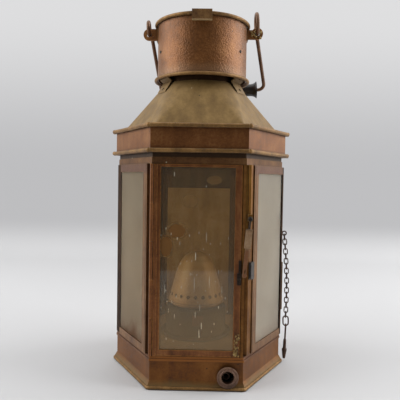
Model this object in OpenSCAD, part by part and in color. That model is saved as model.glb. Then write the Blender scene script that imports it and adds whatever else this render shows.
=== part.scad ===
// Ship's cabin lantern: a six-sided glazed body on a plinth, a round chimney crown with a lid,
// a bail handle with a turned grip, and an oil burner under a pierced bell.
// The door faces -Y, +Z is up, and the origin is the centre of the underside.

/* [Plan] */
// Corner radius of the six-sided plinth wall
plinth_r = 104; // [98:0.5:112]
// How far the plinth flares out at its foot
foot_flare = 3.4; // [2:0.1:6]
// Corner radius of the glazed body
body_r = 104.5; // [98:0.5:112]
// Corner radius of the lower cornice step
cornice_r = 103.6; // [98:0.1:108]
// Corner radius of the deep band above the cornice
band_r = 107; // [104:0.5:114]
// How far the roof's foot stands inside the band's corners
roof_inset = 9.5; // [8:0.5:19]
// Thickness of the body sheet
sheet_t = 1.2; // [0.8:0.1:1.6]

/* [Heights] */
// Height of the plinth wall
plinth_h = 31.5; // [29:0.5:45]
// Height of the flare at the foot of the plinth
flare_h = 5.4; // [3:0.1:9]
// Height of the sill moulding on the plinth
sill_h = 5.5; // [4:0.1:9]
// Height of the glazed body
glazed_h = 213; // [195:1:240]
// Height of the cornice under the band
cornice_h = 12.5; // [9:0.5:18]
// Height of the deep band
band_h = 31; // [24:0.5:38]
// Height of the sloping roof
roof_h = 58; // [45:1:75]
// Air gap between the roof and the crown
crown_gap = 5; // [4:0.5:9]
// Height of the crown wall
crown_h = 68.5; // [55:0.5:80]

/* [Beads] */
// Wire diameter of the wired edge at the foot
foot_wire_d = 4.2; // [2.5:0.1:4.5]
// Wire diameter of the two beads on the band
band_wire_d = 4.8; // [3:0.1:5]
// Wire diameter of the two crown beads
crown_wire_d = 4; // [3:0.1:5]

/* [Vent ferrule] */
// Sideways place of the ferrule on the plinth
ferrule_x = 35; // [-36:1:36]
// Height of the ferrule's centre
ferrule_z = 15.8; // [15:0.1:17]
// Radius of the ferrule's bore
ferrule_bore_r = 7; // [4:0.1:8]
// Radius of the ferrule's flange
ferrule_flange_r = 12; // [11:0.1:13.5]
// How far the flange stands out from the plinth wall
ferrule_stand = 4; // [4:0.1:5]

/* [Door] */
// Thickness of the door frame
door_t = 4.5; // [4:0.1:6]
// Width of the door's two stiles
door_stile_w = 7.5; // [6:0.1:12]
// Height of the door's bottom rail
door_rail_h = 6.6; // [5:0.1:12]
// Height of the door's top rail
door_top_h = 3; // [3:0.1:8]
// Thickness of all the glass
glass_t = 2; // [1.6:0.1:2.4]
// Radius of the door hinge knuckles
knuckle_r = 1.9; // [1.7:0.05:2.1]
// Radius of the door hinge pin
hinge_pin_r = 0.9; // [0.7:0.05:1.1]
// Width of the jamb lip beside the free edge of the door
jamb_lip_w = 3.2; // [2.5:0.1:4]

/* [Side windows] */
// Width of the glazed opening in each side window
window_w = 71; // [64:0.5:73]
// Width of the front stile of each side window
window_stile_w = 10.3; // [8:0.1:11]
// Distance of the left window's stile from the front corner
left_stile_at = 8.6; // [8.5:0.1:12]
// Distance of the right window's stile from the front corner
right_stile_at = 17.5; // [17.2:0.1:18.5]
// Height of the top rail of each side window
window_top_h = 9; // [6:0.1:14]
// Height of the bottom rail of each side window
window_bottom_h = 8; // [6:0.1:14]
// How far the window frames stand out from the body
frame_proud = 1.5; // [1:0.1:2.5]

/* [Latch] */
// Height of the latch pivot above the sill
latch_pivot_up = 154; // [140:1:165]
// Length of the latch lever from its pivot to its foot
latch_len = 62; // [50:1:70]
// Radius of the latch pivot stud
latch_pivot_r = 1.25; // [1:0.05:1.5]
// Width of the thumb block on the lever
thumb_w = 7.4; // [5:0.1:8]
// Height of the thumb block on the lever
thumb_h = 21; // [15:0.5:25]

/* [Crown] */
// Outer radius of the crown wall
crown_r = 55.5; // [51:0.5:60]
// Outer radius of the chimney collar inside the crown
collar_r = 45; // [38:0.5:47]
// How far the chimney collar reaches up into the crown
collar_rise = 33; // [20:1:50]
// Height of the dome of the crown lid
lid_dome_h = 9; // [5:0.5:12]
// Width of the front clip of the lid
clip_w = 23.3; // [15:0.1:30]
// Height of the front clip of the lid
clip_h = 13.2; // [9:0.1:18]
// Width of the three crown legs
leg_w = 23; // [14:0.5:24]

/* [Bail] */
// Diameter of the bail wire
bail_wire_d = 4.7; // [3:0.1:4.8]
// Radius of the left eye of the bail
eye_left_r = 7.75; // [7.5:0.05:9]
// Radius of the right eye of the bail
eye_right_r = 12.05; // [10:0.05:13]
// Distance from the bail's axis to its cross bar
bail_reach = 98; // [96:0.5:110]
// Radius of the bends at the ends of the cross bar
bail_bend_r = 8; // [6:0.5:10]
// Room along the cross bar between the grip and the right bend
grip_room = 3.6; // [0.4:0.2:5]
// Length of the turned grip
grip_len = 112; // [80:1:116]
// Radius of the grip at its flared ends
grip_end_r = 11.7; // [9:0.1:12]
// Radius of the grip at its middle
grip_mid_r = 8.8; // [7:0.1:9]
// Radius of the rounded end of each ear
ear_r = 7.3; // [6.5:0.1:7.6]
// Radius of the hole in each ear
ear_hole_r = 2.9; // [2.8:0.1:3.6]

/* [Chain and lock pin] */
// Wire diameter of the chain links
link_wire_d = 1.4; // [1:0.1:1.6]
// Inner length of a chain link
link_inner = 6.55; // [5.5:0.05:6.6]
// Number of chain links
link_count = 17; // [8:1:17]
// How far the chain bows outwards halfway down
chain_bow = 2.2; // [0:0.1:3]
// Length of the lock pin
pin_len = 43; // [30:1:44]

/* [Burner] */
// Sideways place of the burner
burner_x = -3; // [-6:0.5:6]
// Radius of the round font
font_r = 38; // [34:0.5:42]
// Height of the font
font_h = 36; // [25:1:40]
// Radius of the bell at its rim
bell_r = 34.3; // [31:0.1:37]
// Height of the bell
bell_h = 63; // [55:1:75]
// Radius of the air holes round the bell
bell_hole_r = 1.3; // [0.8:0.1:1.6]
// Number of air holes round the bell
bell_hole_count = 22; // [12:1:26]
// Width of the flat wick
wick_w = 20; // [14:1:22]

/* [Back and side fittings] */
// Inner width of the bracket's pocket
pocket_w = 44; // [36:1:52]
// Inner depth of the bracket's pocket
pocket_d = 5; // [4.5:0.1:6]
// Height of the bracket
pocket_h = 60; // [40:1:80]
// Distance from the bracket's top to the cornice
pocket_drop = 18; // [10:1:40]
// Width of the liner on the back wall
liner_w = 90; // [80:1:94]
// Distance from the liner's top to the cornice
liner_drop = 29; // [10:1:60]
// Length of the lashing bar
bar_len = 62; // [40:1:80]
// Height of the lashing bar above the sill
bar_up = 29; // [10:1:60]
// Length of the yellow strip beside the door
jamb_len = 95; // [70:1:120]

/* [Fits] */
// Gap left by the solder between two soldered pieces
solder = 0.1; // [0.05:0.05:0.2]
// Running clearance round a pin
pin_gap = 0.08; // [0.04:0.01:0.1]
// Clearance between pieces that move past each other
move_gap = 0.4; // [0.3:0.05:0.6]

/* [Hidden] */

$fn = 64;
cos30 = cos(30);
side_apothem = body_r * cos30;
// Levels, each stacked on the one below
sill_z = plinth_h;
floor_z = sill_z + sill_h;
cornice_z = floor_z + glazed_h;
band_z = cornice_z + cornice_h;
band_top_z = band_z + band_h;
roof_r = band_r - roof_inset;
roof_z = band_top_z - 1.5;
roof_top_z = roof_z + roof_h;
crown_z = roof_top_z + crown_gap + 1;
crown_top_z = crown_z + crown_h;

// Depths of the layers of the body walls, measured inwards from the body's six faces
glass_in = solder;
post_in = glass_in + glass_t + solder;
panel_in = post_in - solder - sheet_t;
stop_in = door_t;

// Hinge and door
hinge_x = -(body_r / 2 - 0.65);
hinge_y = -(side_apothem + 0.9);
door_proud = 0.3;
door_y = -(side_apothem + door_proud);
door_x0 = hinge_x + knuckle_r + 0.5;
door_x1 = body_r / 2 - 4.75;
door_z0 = floor_z + 0.6;
door_z1 = cornice_z - 0.4;
knuckle_count = 5;
knuckle_pitch = (door_z1 - door_z0) / knuckle_count;
rebate = 3;

// Latch
latch_x = body_r / 2 + 4.4;
latch_z = floor_z + latch_pivot_up;
latch_y = door_y - 3.2;
latch_lean = 5.4;
lever_t = 1.4;
tab_z = latch_z - latch_len + 1;

// Crown and lid
bead_top_z = crown_top_z - 0.5;
bead_bottom_z = crown_z - 0.3;
bead_mid_r = crown_r + crown_wire_d / 2 + solder;
bead_out_r = crown_r + crown_wire_d + solder;
lid_z = crown_top_z + solder;
lid_hinge_y = bead_out_r + 3.6;
lid_hinge_z = crown_top_z + 1.2;
lid_knuckle_r = 2.2;

// Bail: its axis runs through the centres of both eyes, and its loop hangs down behind the crown
eye_x = bead_out_r + 9;
eye_left_x = eye_x - 1.5;
ear_left_z = crown_top_z - 10.1;
ear_right_z = crown_top_z - 7.3;
eye_left_z = ear_left_z + eye_left_r;
eye_right_z = ear_right_z + eye_right_r;
bail_tilt = atan((eye_right_z - eye_left_z) / (eye_x + eye_left_x));
bail_z = eye_left_z + eye_left_x * tan(bail_tilt);
bail_hang = -45.2;
bail_right_x = eye_x + 14.8;
bail_left_x = -(eye_x - 8.1);
grip_right_x = bail_right_x - bail_bend_r - grip_room;

// Chain: it leans out over the sill and the foot
chain_y = 5;
chain_x = body_r + 4.5;
chain_z = floor_z + 129;
chain_lean = 2.2;
link_pitch = link_inner - 0.25;
link_mid_w = 2.4;
link_top_z = chain_z - 2.6 + 0.8 + link_wire_d / 2 + 0.3;
link_half = link_inner / 2 + link_wire_d / 2;
shackle_half = 6.2;
shackle_gap = link_wire_d + 0.55;
shackle_z = link_top_z - link_half - (link_count - 1) * link_pitch - link_half + shackle_gap - shackle_half;
shackle_w = 3.4;
pin_eye_r = 2;
pin_lean = 2;
pin_drop = chain_z - (shackle_z - shackle_half + shackle_gap - pin_eye_r);
pin_z = chain_z - pin_drop * cos(chain_lean);
pin_x = chain_x + pin_drop * sin(chain_lean);

// Burner
burner_z = floor_z + 1;
tray_h = 4;
font_z = burner_z + 1.2;
font_top_z = font_z + font_h;
gallery_h = 3.4;
bell_z = font_top_z + gallery_h + 1 + solder * 3;
wick_t = 2.4;
spindle_y = wick_t / 2 + 3.5;
spindle_z = font_top_z + gallery_h / 2;

// Six-sided solid with flat faces to the front and back
module hex_prism(r, z0, z1) {
    translate([0, 0, z0]) cylinder(r = r, h = z1 - z0, $fn = 6);
}

module hex_ring(r_out, r_in, z0, z1) {
    difference() {
        hex_prism(r_out, z0, z1);
        hex_prism(r_in, z0 - 1, z1 + 1);
    }
}

// Turns a piece drawn on the front face to another face: 1 is right front, 3 is the back
module on_face(i) {
    rotate(60 * i) children();
}

// Box given by two corners
module block(a, b) {
    translate(a) cube([b[0] - a[0], b[1] - a[1], b[2] - a[2]]);
}

// Wedge from the axis out through one face, used to cut six-sided rings at their corners
module face_wedge(r, z0, z1) {
    translate([0, 0, z0]) linear_extrude(z1 - z0) polygon([[0, 0], [-r, -2 * r * cos30], [r, -2 * r * cos30]]);
}

// Tube through rows of section points; a loop joins its last row to its first, else both ends are capped
module tube(rows, loop = true) {
    m = len(rows);
    n = len(rows[0]);
    polyhedron(
        points = [for (row = rows) for (p = row) p],
        faces = concat(
            [for (i = [0:m - (loop ? 1 : 2)], j = [0:n - 1]) let (k = (i + 1) % m, l = (j + 1) % n)
                [k * n + l, k * n + j, i * n + j, i * n + l]],
            loop ? [] : [[for (j = [n - 1:-1:0]) j], [for (j = [0:n - 1]) (m - 1) * n + j]]
        )
    );
}

// Round wire carried along the six faces, mitred at the corners
module hex_wire(r_mid, wire_r, z) {
    tube([for (i = [0:5]) [for (a = [0:30:330]) let (r = r_mid + wire_r * cos(a) / cos30)
        [r * cos(60 * i), r * sin(60 * i), z + wire_r * sin(a)]]]);
}

// Point on the right front face: a is the distance from the front corner, d the distance outwards
function side_point(a, d) = [
    body_r / 2 + a / 2 + d * cos30,
    -side_apothem + a * cos30 - d / 2
];

module base_plate() {
    color("#6e6148")
    hex_prism(plinth_r + foot_flare - foot_wire_d / 2 / cos30 - solder, 0, sheet_t);
}

module foot_wire() {
    color("#8b7858") hex_wire(plinth_r + foot_flare, foot_wire_d / 2, foot_wire_d / 2);
}

module plinth_wall() {
    flare_z = foot_wire_d + solder;
    inset = sheet_t / cos30;
    color("#6e5040") difference() {
        union() {
            hex_prism(plinth_r, flare_z + flare_h, sill_z);
            translate([0, 0, flare_z])
                cylinder(r1 = plinth_r + foot_flare, r2 = plinth_r, h = flare_h, $fn = 6);
        }
        hex_prism(plinth_r - inset, flare_z + flare_h, sill_z + 1);
        translate([0, 0, flare_z - 0.001])
            cylinder(r1 = plinth_r + foot_flare - inset, r2 = plinth_r - inset, h = flare_h + 0.002, $fn = 6);
        translate([ferrule_x, 0, ferrule_z]) rotate([90, 0, 0])
            cylinder(r = ferrule_bore_r + 2.6 + solder, h = 2 * plinth_r);
    }
}

// Flanged ring let into the front of the plinth, with a rolled lip round its mouth
module vent_ferrule() {
    wall = plinth_r * cos30;
    neck_r = ferrule_bore_r + 2.6;
    color("#7f6353") translate([ferrule_x, -wall, ferrule_z]) rotate([90, 0, 0]) rotate_extrude()
        polygon([
            [ferrule_bore_r, -6], [neck_r, -6], [neck_r, ferrule_stand],
            [ferrule_flange_r - 0.6, ferrule_stand], [ferrule_flange_r, ferrule_stand + 0.6],
            [ferrule_flange_r, ferrule_stand + 1.2], [ferrule_flange_r - 0.8, ferrule_stand + 1.8],
            [ferrule_bore_r + 2, ferrule_stand + 1.8], [ferrule_bore_r + 1.4, ferrule_stand + 2.4],
            [ferrule_bore_r + 0.5, ferrule_stand + 2.4], [ferrule_bore_r, ferrule_stand + 1.8]
        ]);
}

module sill_moulding() {
    color("#9c5c22") difference() {
        union() {
            hex_prism(plinth_r + 1.2, sill_z, sill_z + sill_h * 0.45);
            hex_prism(plinth_r + 0.4, sill_z + sill_h * 0.45, floor_z);
        }
        hex_prism(body_r - 9, sill_z - 1, floor_z + 1);
    }
}

module floor_pan() {
    color("#6b5a3c") hex_prism(body_r - 9.5, floor_z, burner_z);
}

// Inner angle strip at a corner between two faces; i counts the corners from the right one
module corner_angle(i, flange) {
    post_r = body_r - post_in / cos30;
    rotate(60 * i) intersection() {
        hex_ring(post_r, post_r - sheet_t / cos30, floor_z, cornice_z);
        block([post_r - flange * cos30 - 1, -flange * cos30 - 1, floor_z], [post_r + 1, flange * cos30 + 1, cornice_z]);
    }
}

module corner_posts() {
    color("#4a3320") for (i = [0:3]) corner_angle(i, 7);
}

// Folded strip behind the hinge: a narrow front edge and a recessed side up to the window stile
module hinge_post() {
    color("#7a5628") translate([0, 0, floor_z]) linear_extrude(glazed_h) mirror([1, 0])
        polygon([
            [body_r / 2 - 2.3, -side_apothem + 1.2], side_point(1.2, -1.9),
            side_point(left_stile_at - solder, -1.9), side_point(left_stile_at - solder, -1.9 - sheet_t),
            side_point(3.4, -1.9 - sheet_t), [body_r / 2 - 2.3, -side_apothem + 2.8]
        ]);
}

// Folded strip on the latch side: lip beside the door, a square notch at the corner, then the side
module latch_post() {
    lip_x = door_x1 + 0.9;
    notch_x = lip_x + jamb_lip_w;
    notch_y = -side_apothem + 6.7;
    color("#8a5c24") translate([0, 0, floor_z]) linear_extrude(glazed_h) polygon([
        [lip_x, -side_apothem + 0.2], [notch_x, -side_apothem + 0.2], [notch_x, notch_y],
        side_point(6.7 / cos30, 0), side_point(right_stile_at - solder, 0),
        side_point(right_stile_at - solder, -sheet_t), side_point(6.7 / cos30, -sheet_t) + [0, 0.6],
        [notch_x - sheet_t, notch_y + sheet_t], [notch_x - sheet_t, -side_apothem + 0.2 + sheet_t],
        [lip_x, -side_apothem + 0.2 + sheet_t]
    ]);
}

// Frame behind the door, against which the door closes
module door_surround() {
    y0 = -side_apothem + stop_in;
    x0 = -body_r / 2 + 2.3 + solder;
    x1 = door_x1 + 0.9 + jamb_lip_w - sheet_t - solder;
    lap = 2.6;
    color("#5c4024") difference() {
        block([x0, y0, burner_z], [x1, y0 + sheet_t, cornice_z]);
        block([door_x0 + door_stile_w - lap, y0 - 1, door_z0 + door_rail_h - lap],
              [door_x1 - door_stile_w + lap, y0 + 3, door_z1 - door_top_h + 0.5]);
    }
}

module wall_panel(i) {
    r_out = body_r - panel_in / cos30;
    on_face(i) intersection() {
        hex_ring(r_out, r_out - sheet_t / cos30, floor_z, cornice_z);
        face_wedge(body_r, floor_z - 1, cornice_z + 1);
    }
}

module back_panel() {
    color("#8c7350") wall_panel(3);
}

module rear_left_panel() {
    color("#9c7558") wall_panel(-2);
}

module rear_right_panel() {
    color("#9c7558") wall_panel(2);
}

// Bright inner sheet on the back wall, behind the flame
module back_liner() {
    x0 = burner_x - liner_w / 2;
    y1 = side_apothem - post_in - sheet_t - solder;
    z1 = cornice_z - liner_drop;
    color("#a08a66") difference() {
        block([x0, y1 - 0.8, burner_z], [x0 + liner_w, y1, z1]);
        block([x0 + 2, y1 - 1, z1 - 3.5], [x0 + liner_w - 2, y1 - 0.4, z1 - 2]);
    }
}

// Pocket on the back that drops over a wall tongue: open at the bottom, closed at the top
module wall_bracket() {
    y0 = side_apothem - panel_in;
    flange_w = 9;
    z1 = cornice_z - pocket_drop;
    z0 = z1 - pocket_h;
    w = pocket_w / 2;
    color("#7d6238") difference() {
        union() {
            block([-w - flange_w, y0, z0], [w + flange_w, y0 + sheet_t, z1]);
            block([-w - sheet_t, y0, z0], [w + sheet_t, y0 + pocket_d + sheet_t, z1]);
        }
        block([-w, y0 - 1, z0 - 1], [w, y0 + pocket_d, z1 - sheet_t]);
    }
    for (side = [-1, 1], z = [z0 + 10, z1 - 10])
        translate([side * (w + flange_w / 2 + 0.5), y0 + sheet_t, z]) rotate([-90, 0, 0]) cylinder(r = 2, h = 1, $fn = 24);
}

// Side windows are drawn on the front face with the front corner at -x
module window_frame(stile_at) {
    x0 = -body_r / 2 + stile_at;
    x1 = x0 + window_stile_w;
    x2 = x1 + window_w;
    y0 = -side_apothem - frame_proud;
    difference() {
        union() {
            block([x0, y0, floor_z], [x2 + 2, -side_apothem, cornice_z]);
            block([x0, -side_apothem - 0.5, floor_z], [x1 - 4.2, -side_apothem + post_in - solder, cornice_z]);
        }
        block([x1, y0 - 1, floor_z + window_bottom_h], [x2 + 5, 0, cornice_z - window_top_h]);
        block([x0 + 2.2, y0 - 1, floor_z - 1], [x0 + 3, y0 + 0.5, cornice_z + 1]);
    }
}

module window_glass(stile_at) {
    x1 = -body_r / 2 + stile_at + window_stile_w;
    color([0.62, 0.62, 0.55, 0.6])
    block([x1 - 4, -side_apothem + glass_in, floor_z + 3],
          [x1 + window_w + 1.8, -side_apothem + glass_in + glass_t, cornice_z - 3]);
}

// Upright guide at the rear edge of a side window, a channel open towards the glass
module window_channel(stile_at, proud) {
    x0 = -body_r / 2 + stile_at + window_stile_w + window_w + 2 + solder;
    x1 = body_r / 2;
    y0 = -side_apothem - proud;
    intersection() {
        difference() {
            block([x0, y0, floor_z], [x1, -side_apothem + post_in - solder, cornice_z]);
            block([x0 - 1, y0 + 1, floor_z - 1], [x1 - 1.6, -side_apothem + post_in - 1, cornice_z + 1]);
        }
        face_wedge(1.1 * body_r, floor_z, cornice_z);
    }
}

module left_window_frame() {
    color("#94694a") on_face(-1) mirror([1, 0, 0]) window_frame(left_stile_at);
}

module right_window_frame() {
    color("#a9764c") on_face(1) window_frame(right_stile_at);
}

module left_window_glass() {
    on_face(-1) mirror([1, 0, 0]) window_glass(left_stile_at);
}

module right_window_glass() {
    on_face(1) window_glass(right_stile_at);
}

module left_window_channel() {
    color("#2e1f12") on_face(-1) mirror([1, 0, 0]) window_channel(left_stile_at, 0.4);
}

module right_window_channel() {
    color("#2e1f12") on_face(1) window_channel(right_stile_at, frame_proud);
}

// Flat bar standing off the right corner on two feet
module lashing_bar() {
    z0 = floor_z + bar_up;
    z1 = z0 + bar_len;
    stand = 6.5;
    y0 = -side_apothem - stand;
    color("#7a5a3a") on_face(2) translate([-body_r / 2 + 8, 0, 0]) {
        block([-2, y0 - 1.8, z0], [2, y0, z1]);
        for (z = [z0, z1 - 5]) block([-2, y0, z], [2, -side_apothem + panel_in - solder, z + 5]);
    }
}

module door_frame() {
    y1 = door_y + door_t;
    color("#6b432b") difference() {
        block([door_x0, door_y, door_z0], [door_x1, y1, door_z1]);
        block([door_x0 + door_stile_w, door_y - 1, door_z0 + door_rail_h],
              [door_x1 - door_stile_w, y1 + 1, door_z1 - door_top_h]);
        block([door_x0 + door_stile_w - rebate, door_y + sheet_t, door_z0 + door_rail_h - rebate],
              [door_x1 - door_stile_w + rebate, y1 + 1, door_z1 - door_top_h + 2]);
    }
}

module door_glass() {
    edge = rebate - 0.3;
    color([0.62, 0.55, 0.42, 0.45])
    block([door_x0 + door_stile_w - edge, door_y + sheet_t + solder, door_z0 + door_rail_h - edge],
          [door_x1 - door_stile_w + edge, door_y + sheet_t + solder + glass_t, door_z1 - door_top_h + 1.7]);
}

// Thin strips soldered into the back of the door frame to hold the glass
module door_glass_strips() {
    y0 = door_y + sheet_t + 2 * solder + glass_t;
    y1 = door_y + door_t - 0.2;
    x0 = door_x0 + door_stile_w - rebate + solder;
    x1 = door_x1 - door_stile_w + rebate - solder;
    z0 = door_z0 + door_rail_h - rebate + solder;
    z1 = door_z1 - door_top_h + 2 - solder;
    w = 2.2;
    color("#5a3d22") {
        for (x = [x0, x1 - w]) block([x, y0, z0], [x + w, y1, z1]);
        block([x0 + w + solder, y0, z0], [x1 - w - solder, y1, z0 + w]);
        block([x0 + w + solder, y0, z1 - w], [x1 - w - solder, y1, z1]);
    }
}

// One hinge knuckle: k counts up from the foot, and every second one is the door's
module knuckle(k, leaf_a, leaf_b) {
    z0 = door_z0 + k * knuckle_pitch + (k > 0 ? 0.25 : 0);
    z1 = door_z0 + (k + 1) * knuckle_pitch - (k < knuckle_count - 1 ? 0.25 : 0);
    difference() {
        union() {
            translate([hinge_x, hinge_y, z0]) cylinder(r = knuckle_r, h = z1 - z0, $fn = 32);
            block([leaf_a[0], leaf_a[1], z0], [leaf_b[0], leaf_b[1], z1]);
        }
        translate([hinge_x, hinge_y, z0 - 1]) cylinder(r = hinge_pin_r + pin_gap, h = z1 - z0 + 2, $fn = 32);
    }
}

module body_hinge_knuckles() {
    color("#8c6a2c") for (k = [0:2:knuckle_count - 1])
        knuckle(k, [hinge_x - 0.4, hinge_y], [hinge_x + 0.9, -side_apothem + 1.2 - solder]);
}

module door_hinge_leaf() {
    leaf_y = door_y - solder;
    color("#a0702f") {
        for (k = [1:2:knuckle_count - 1]) knuckle(k, [hinge_x, leaf_y - 0.8], [door_x0 + 2, leaf_y]);
        block([door_x0 + 0.2, leaf_y - 0.8, door_z0], [door_x0 + 4, leaf_y, door_z1]);
    }
}

module door_hinge_pin() {
    color("#5b4630") translate([hinge_x, hinge_y, door_z0 - 0.3])
        cylinder(r = hinge_pin_r, h = door_z1 - door_z0 + 0.5, $fn = 32);
}

// Tab on the door's free edge that the latch lever hooks over
module door_catch_tab() {
    y1 = door_y - solder;
    color("#2b2119") difference() {
        union() {
            block([door_x1 - 4, y1 - 1.5, tab_z - 12], [door_x1 + 0.4, y1, tab_z + 1]);
            block([door_x1 - 2.4, y1 - 1.5, tab_z], [door_x1 - 0.2, y1, tab_z + 15]);
            translate([door_x1 - 1.9, y1 - 1.5, tab_z - 6]) rotate([90, 0, 0]) cylinder(r1 = 2, r2 = 1.4, h = 0.5, $fn = 24);
        }
        translate([door_x1 - 1.9, y1, tab_z - 1.5]) rotate([90, 0, 0]) cylinder(r = 0.7, h = 9, center = true, $fn = 16);
    }
}

module jamb_strip() {
    x0 = door_x1 + 0.9 + jamb_lip_w + solder;
    y0 = -side_apothem + 1.8;
    y1 = -side_apothem + 6.7 - solder;
    color("#7f5a14") {
        block([x0, y0, cornice_z - jamb_len], [latch_x - 2.7, y0 + 1, cornice_z - solder]);
        block([x0, y0 + 1, cornice_z - jamb_len], [x0 + 1, y1, cornice_z - solder]);
    }
}

// Tube down the corner with a solid foot that carries the latch pivot
module latch_guide() {
    y1 = -side_apothem + 6.7 - solder;
    y0 = latch_y + lever_t / 2 + 0.7;
    tube_r = 1.9;
    color("#a07038") difference() {
        union() {
            block([latch_x - 2.5, y0, latch_z - 3], [latch_x + 2.3, y1, latch_z + 5]);
            translate([latch_x - 0.5, -side_apothem + 2.3, latch_z + 4]) cylinder(r = tube_r, h = cornice_z - latch_z - 4 - solder, $fn = 32);
        }
        translate([latch_x, latch_y - 5, latch_z]) rotate([-90, 0, 0]) cylinder(r = latch_pivot_r + solder / 2, h = 12, $fn = 32);
    }
}

module latch_pivot() {
    y0 = latch_y - lever_t / 2 - move_gap;
    color("#4c4038") {
        translate([latch_x, y0, latch_z]) rotate([-90, 0, 0]) cylinder(r = latch_pivot_r, h = 8, $fn = 32);
        translate([latch_x, y0, latch_z]) rotate([90, 0, 0]) cylinder(r1 = 2.3, r2 = 1.5, h = 1, $fn = 24);
    }
}

// Lever that hangs from its pivot: narrow neck, thumb block, strap and hooked foot
module latch_lever() {
    eye_r = latch_pivot_r + 1.5;
    neck_len = 11;
    strap_w = 4.2;
    color("#8a705c") translate([latch_x, latch_y, latch_z]) rotate([0, latch_lean, 0]) {
        difference() {
            rotate([90, 0, 0]) translate([0, 0, -lever_t / 2]) linear_extrude(lever_t) union() {
                circle(r = eye_r, $fn = 32);
                translate([-1.1, -neck_len - 1]) square([2.2, neck_len + 1]);
                translate([-strap_w / 2, -latch_len]) square([strap_w, latch_len - neck_len]);
                translate([0.2, -latch_len]) circle(r = 2.6, $fn = 32);
            }
            rotate([90, 0, 0]) cylinder(r = latch_pivot_r + pin_gap, h = 3 * lever_t, center = true, $fn = 32);
            translate([0.4, 0, -latch_len + 4.5]) cube([1.4, 3 * lever_t, 5], center = true);
        }
        block([-thumb_w / 2, -lever_t / 2 - 1.8, -neck_len - thumb_h], [thumb_w / 2, -lever_t / 2, -neck_len]);
    }
}

// Springy steel clip on the corner beside the lever's foot
module latch_keeper() {
    x0 = -body_r / 2 + 8.5;
    y1 = -side_apothem - solder;
    z0 = tab_z - 7;
    z1 = z0 + 19;
    color("#6f7274") on_face(1) difference() {
        block([x0, y1 - 3.2, z0], [x0 + 7.6, y1, z1]);
        block([x0 - 1, y1 - 2.4, z0 - 1], [x0 + 9, y1 - 0.8, z1 - 0.8]);
    }
}

module cornice() {
    step = cornice_h * 0.56;
    color("#8c7350") {
        hex_ring(cornice_r, cornice_r - 1.6, cornice_z, cornice_z + step);
        hex_ring(cornice_r - 0.2, body_r - 8, cornice_z, cornice_z + sheet_t);
        hex_ring(cornice_r - 1, cornice_r - 2.6, cornice_z + step - 0.5, band_z);
    }
}

// Deep band with an inward flange at its foot and another that carries the roof
module band() {
    color("#6e4a2c") {
        hex_ring(band_r, band_r - 1.6, band_z, band_top_z);
        hex_ring(band_r - 1, cornice_r - 5, band_z, band_z + sheet_t);
        hex_ring(band_r - 1, roof_r - 4, roof_z - sheet_t, roof_z);
    }
}

function band_bead_r() = band_r + (band_wire_d / 2 + solder) / cos30;

module lower_band_bead() {
    color("#86714f") hex_wire(band_bead_r(), band_wire_d / 2, band_z + 2);
}

module upper_band_bead() {
    color("#86714f") hex_wire(band_bead_r(), band_wire_d / 2, band_top_z - 1.8);
}

// Sheet roof that runs from six sides at its foot to a circle round the chimney collar
module roof_cowl() {
    top_r = collar_r + solder + sheet_t + 0.2;
    z0 = roof_z + solder;
    color("#7d6a48") difference() {
        hull() {
            hex_prism(roof_r, z0, z0 + 0.8);
            translate([0, 0, roof_top_z - 0.5]) cylinder(r = top_r, h = 0.5, $fn = 60);
        }
        hull() {
            hex_prism(roof_r - 1.6, z0 - 0.1, z0 + 0.6);
            translate([0, 0, roof_top_z - 0.6]) cylinder(r = collar_r + solder, h = 0.7, $fn = 60);
        }
    }
}

module chimney_collar() {
    color("#4a3a26") translate([0, 0, roof_top_z - 6]) difference() {
        cylinder(r = collar_r, h = collar_rise + 6);
        translate([0, 0, -1]) cylinder(r = collar_r - sheet_t, h = collar_rise + 8);
    }
}

leg_turns = [-30, 90, 210];
rivet_z = crown_z + 31;
rivet_turn = -4;

module crown_wall() {
    color("#8c5f40") difference() {
        translate([0, 0, crown_z]) cylinder(r = crown_r, h = crown_h);
        translate([0, 0, crown_z - 1]) cylinder(r = crown_r - sheet_t, h = crown_h + 2);
        for (a = leg_turns) rotate(a + rivet_turn) translate([crown_r - 6, 0, rivet_z]) rotate([0, 90, 0])
            cylinder(r = 1.3, h = 12, $fn = 24);
    }
}

module crown_beads() {
    color("#8c7350") for (z = [bead_bottom_z, bead_top_z]) translate([0, 0, z]) rotate_extrude()
        translate([bead_mid_r, 0]) circle(r = crown_wire_d / 2, $fn = 32);
}

// Distance of the roof's facet from the axis at a height, along the middle of the facet
function facet_at(z) = roof_r * cos30
    + (collar_r + solder + sheet_t + 0.2 - roof_r * cos30) * (z - roof_z) / roof_h;

// Three straps riveted inside the crown wall, each ending in a round tongue on the roof
module crown_legs() {
    t = 1;
    lie = 0.35;
    foot_z = roof_top_z - 19;
    knee_z = roof_top_z + 1.5;
    wall_x = sqrt(pow(crown_r - sheet_t, 2) - pow(leg_w / 2, 2)) - 0.15;
    color("#8c7350") for (a = leg_turns) rotate(a) intersection() {
        rotate([90, 0, 0]) linear_extrude(leg_w, center = true) polygon([
            [facet_at(foot_z) + lie, foot_z], [facet_at(roof_top_z) + lie, knee_z],
            [wall_x - t, crown_z - 1], [wall_x - t, rivet_z + 5], [wall_x, rivet_z + 5],
            [wall_x, crown_z - 1.6], [facet_at(roof_top_z) + lie + 1.2 * t, knee_z - 0.6],
            [facet_at(foot_z) + lie + 1.2 * t, foot_z]
        ]);
        rotate([90, 0, 90]) linear_extrude(crown_r) union() {
            translate([0, foot_z + leg_w / 2]) circle(r = leg_w / 2);
            translate([-leg_w / 2, foot_z + leg_w / 2]) square([leg_w, rivet_z]);
        }
    }
}

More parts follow.
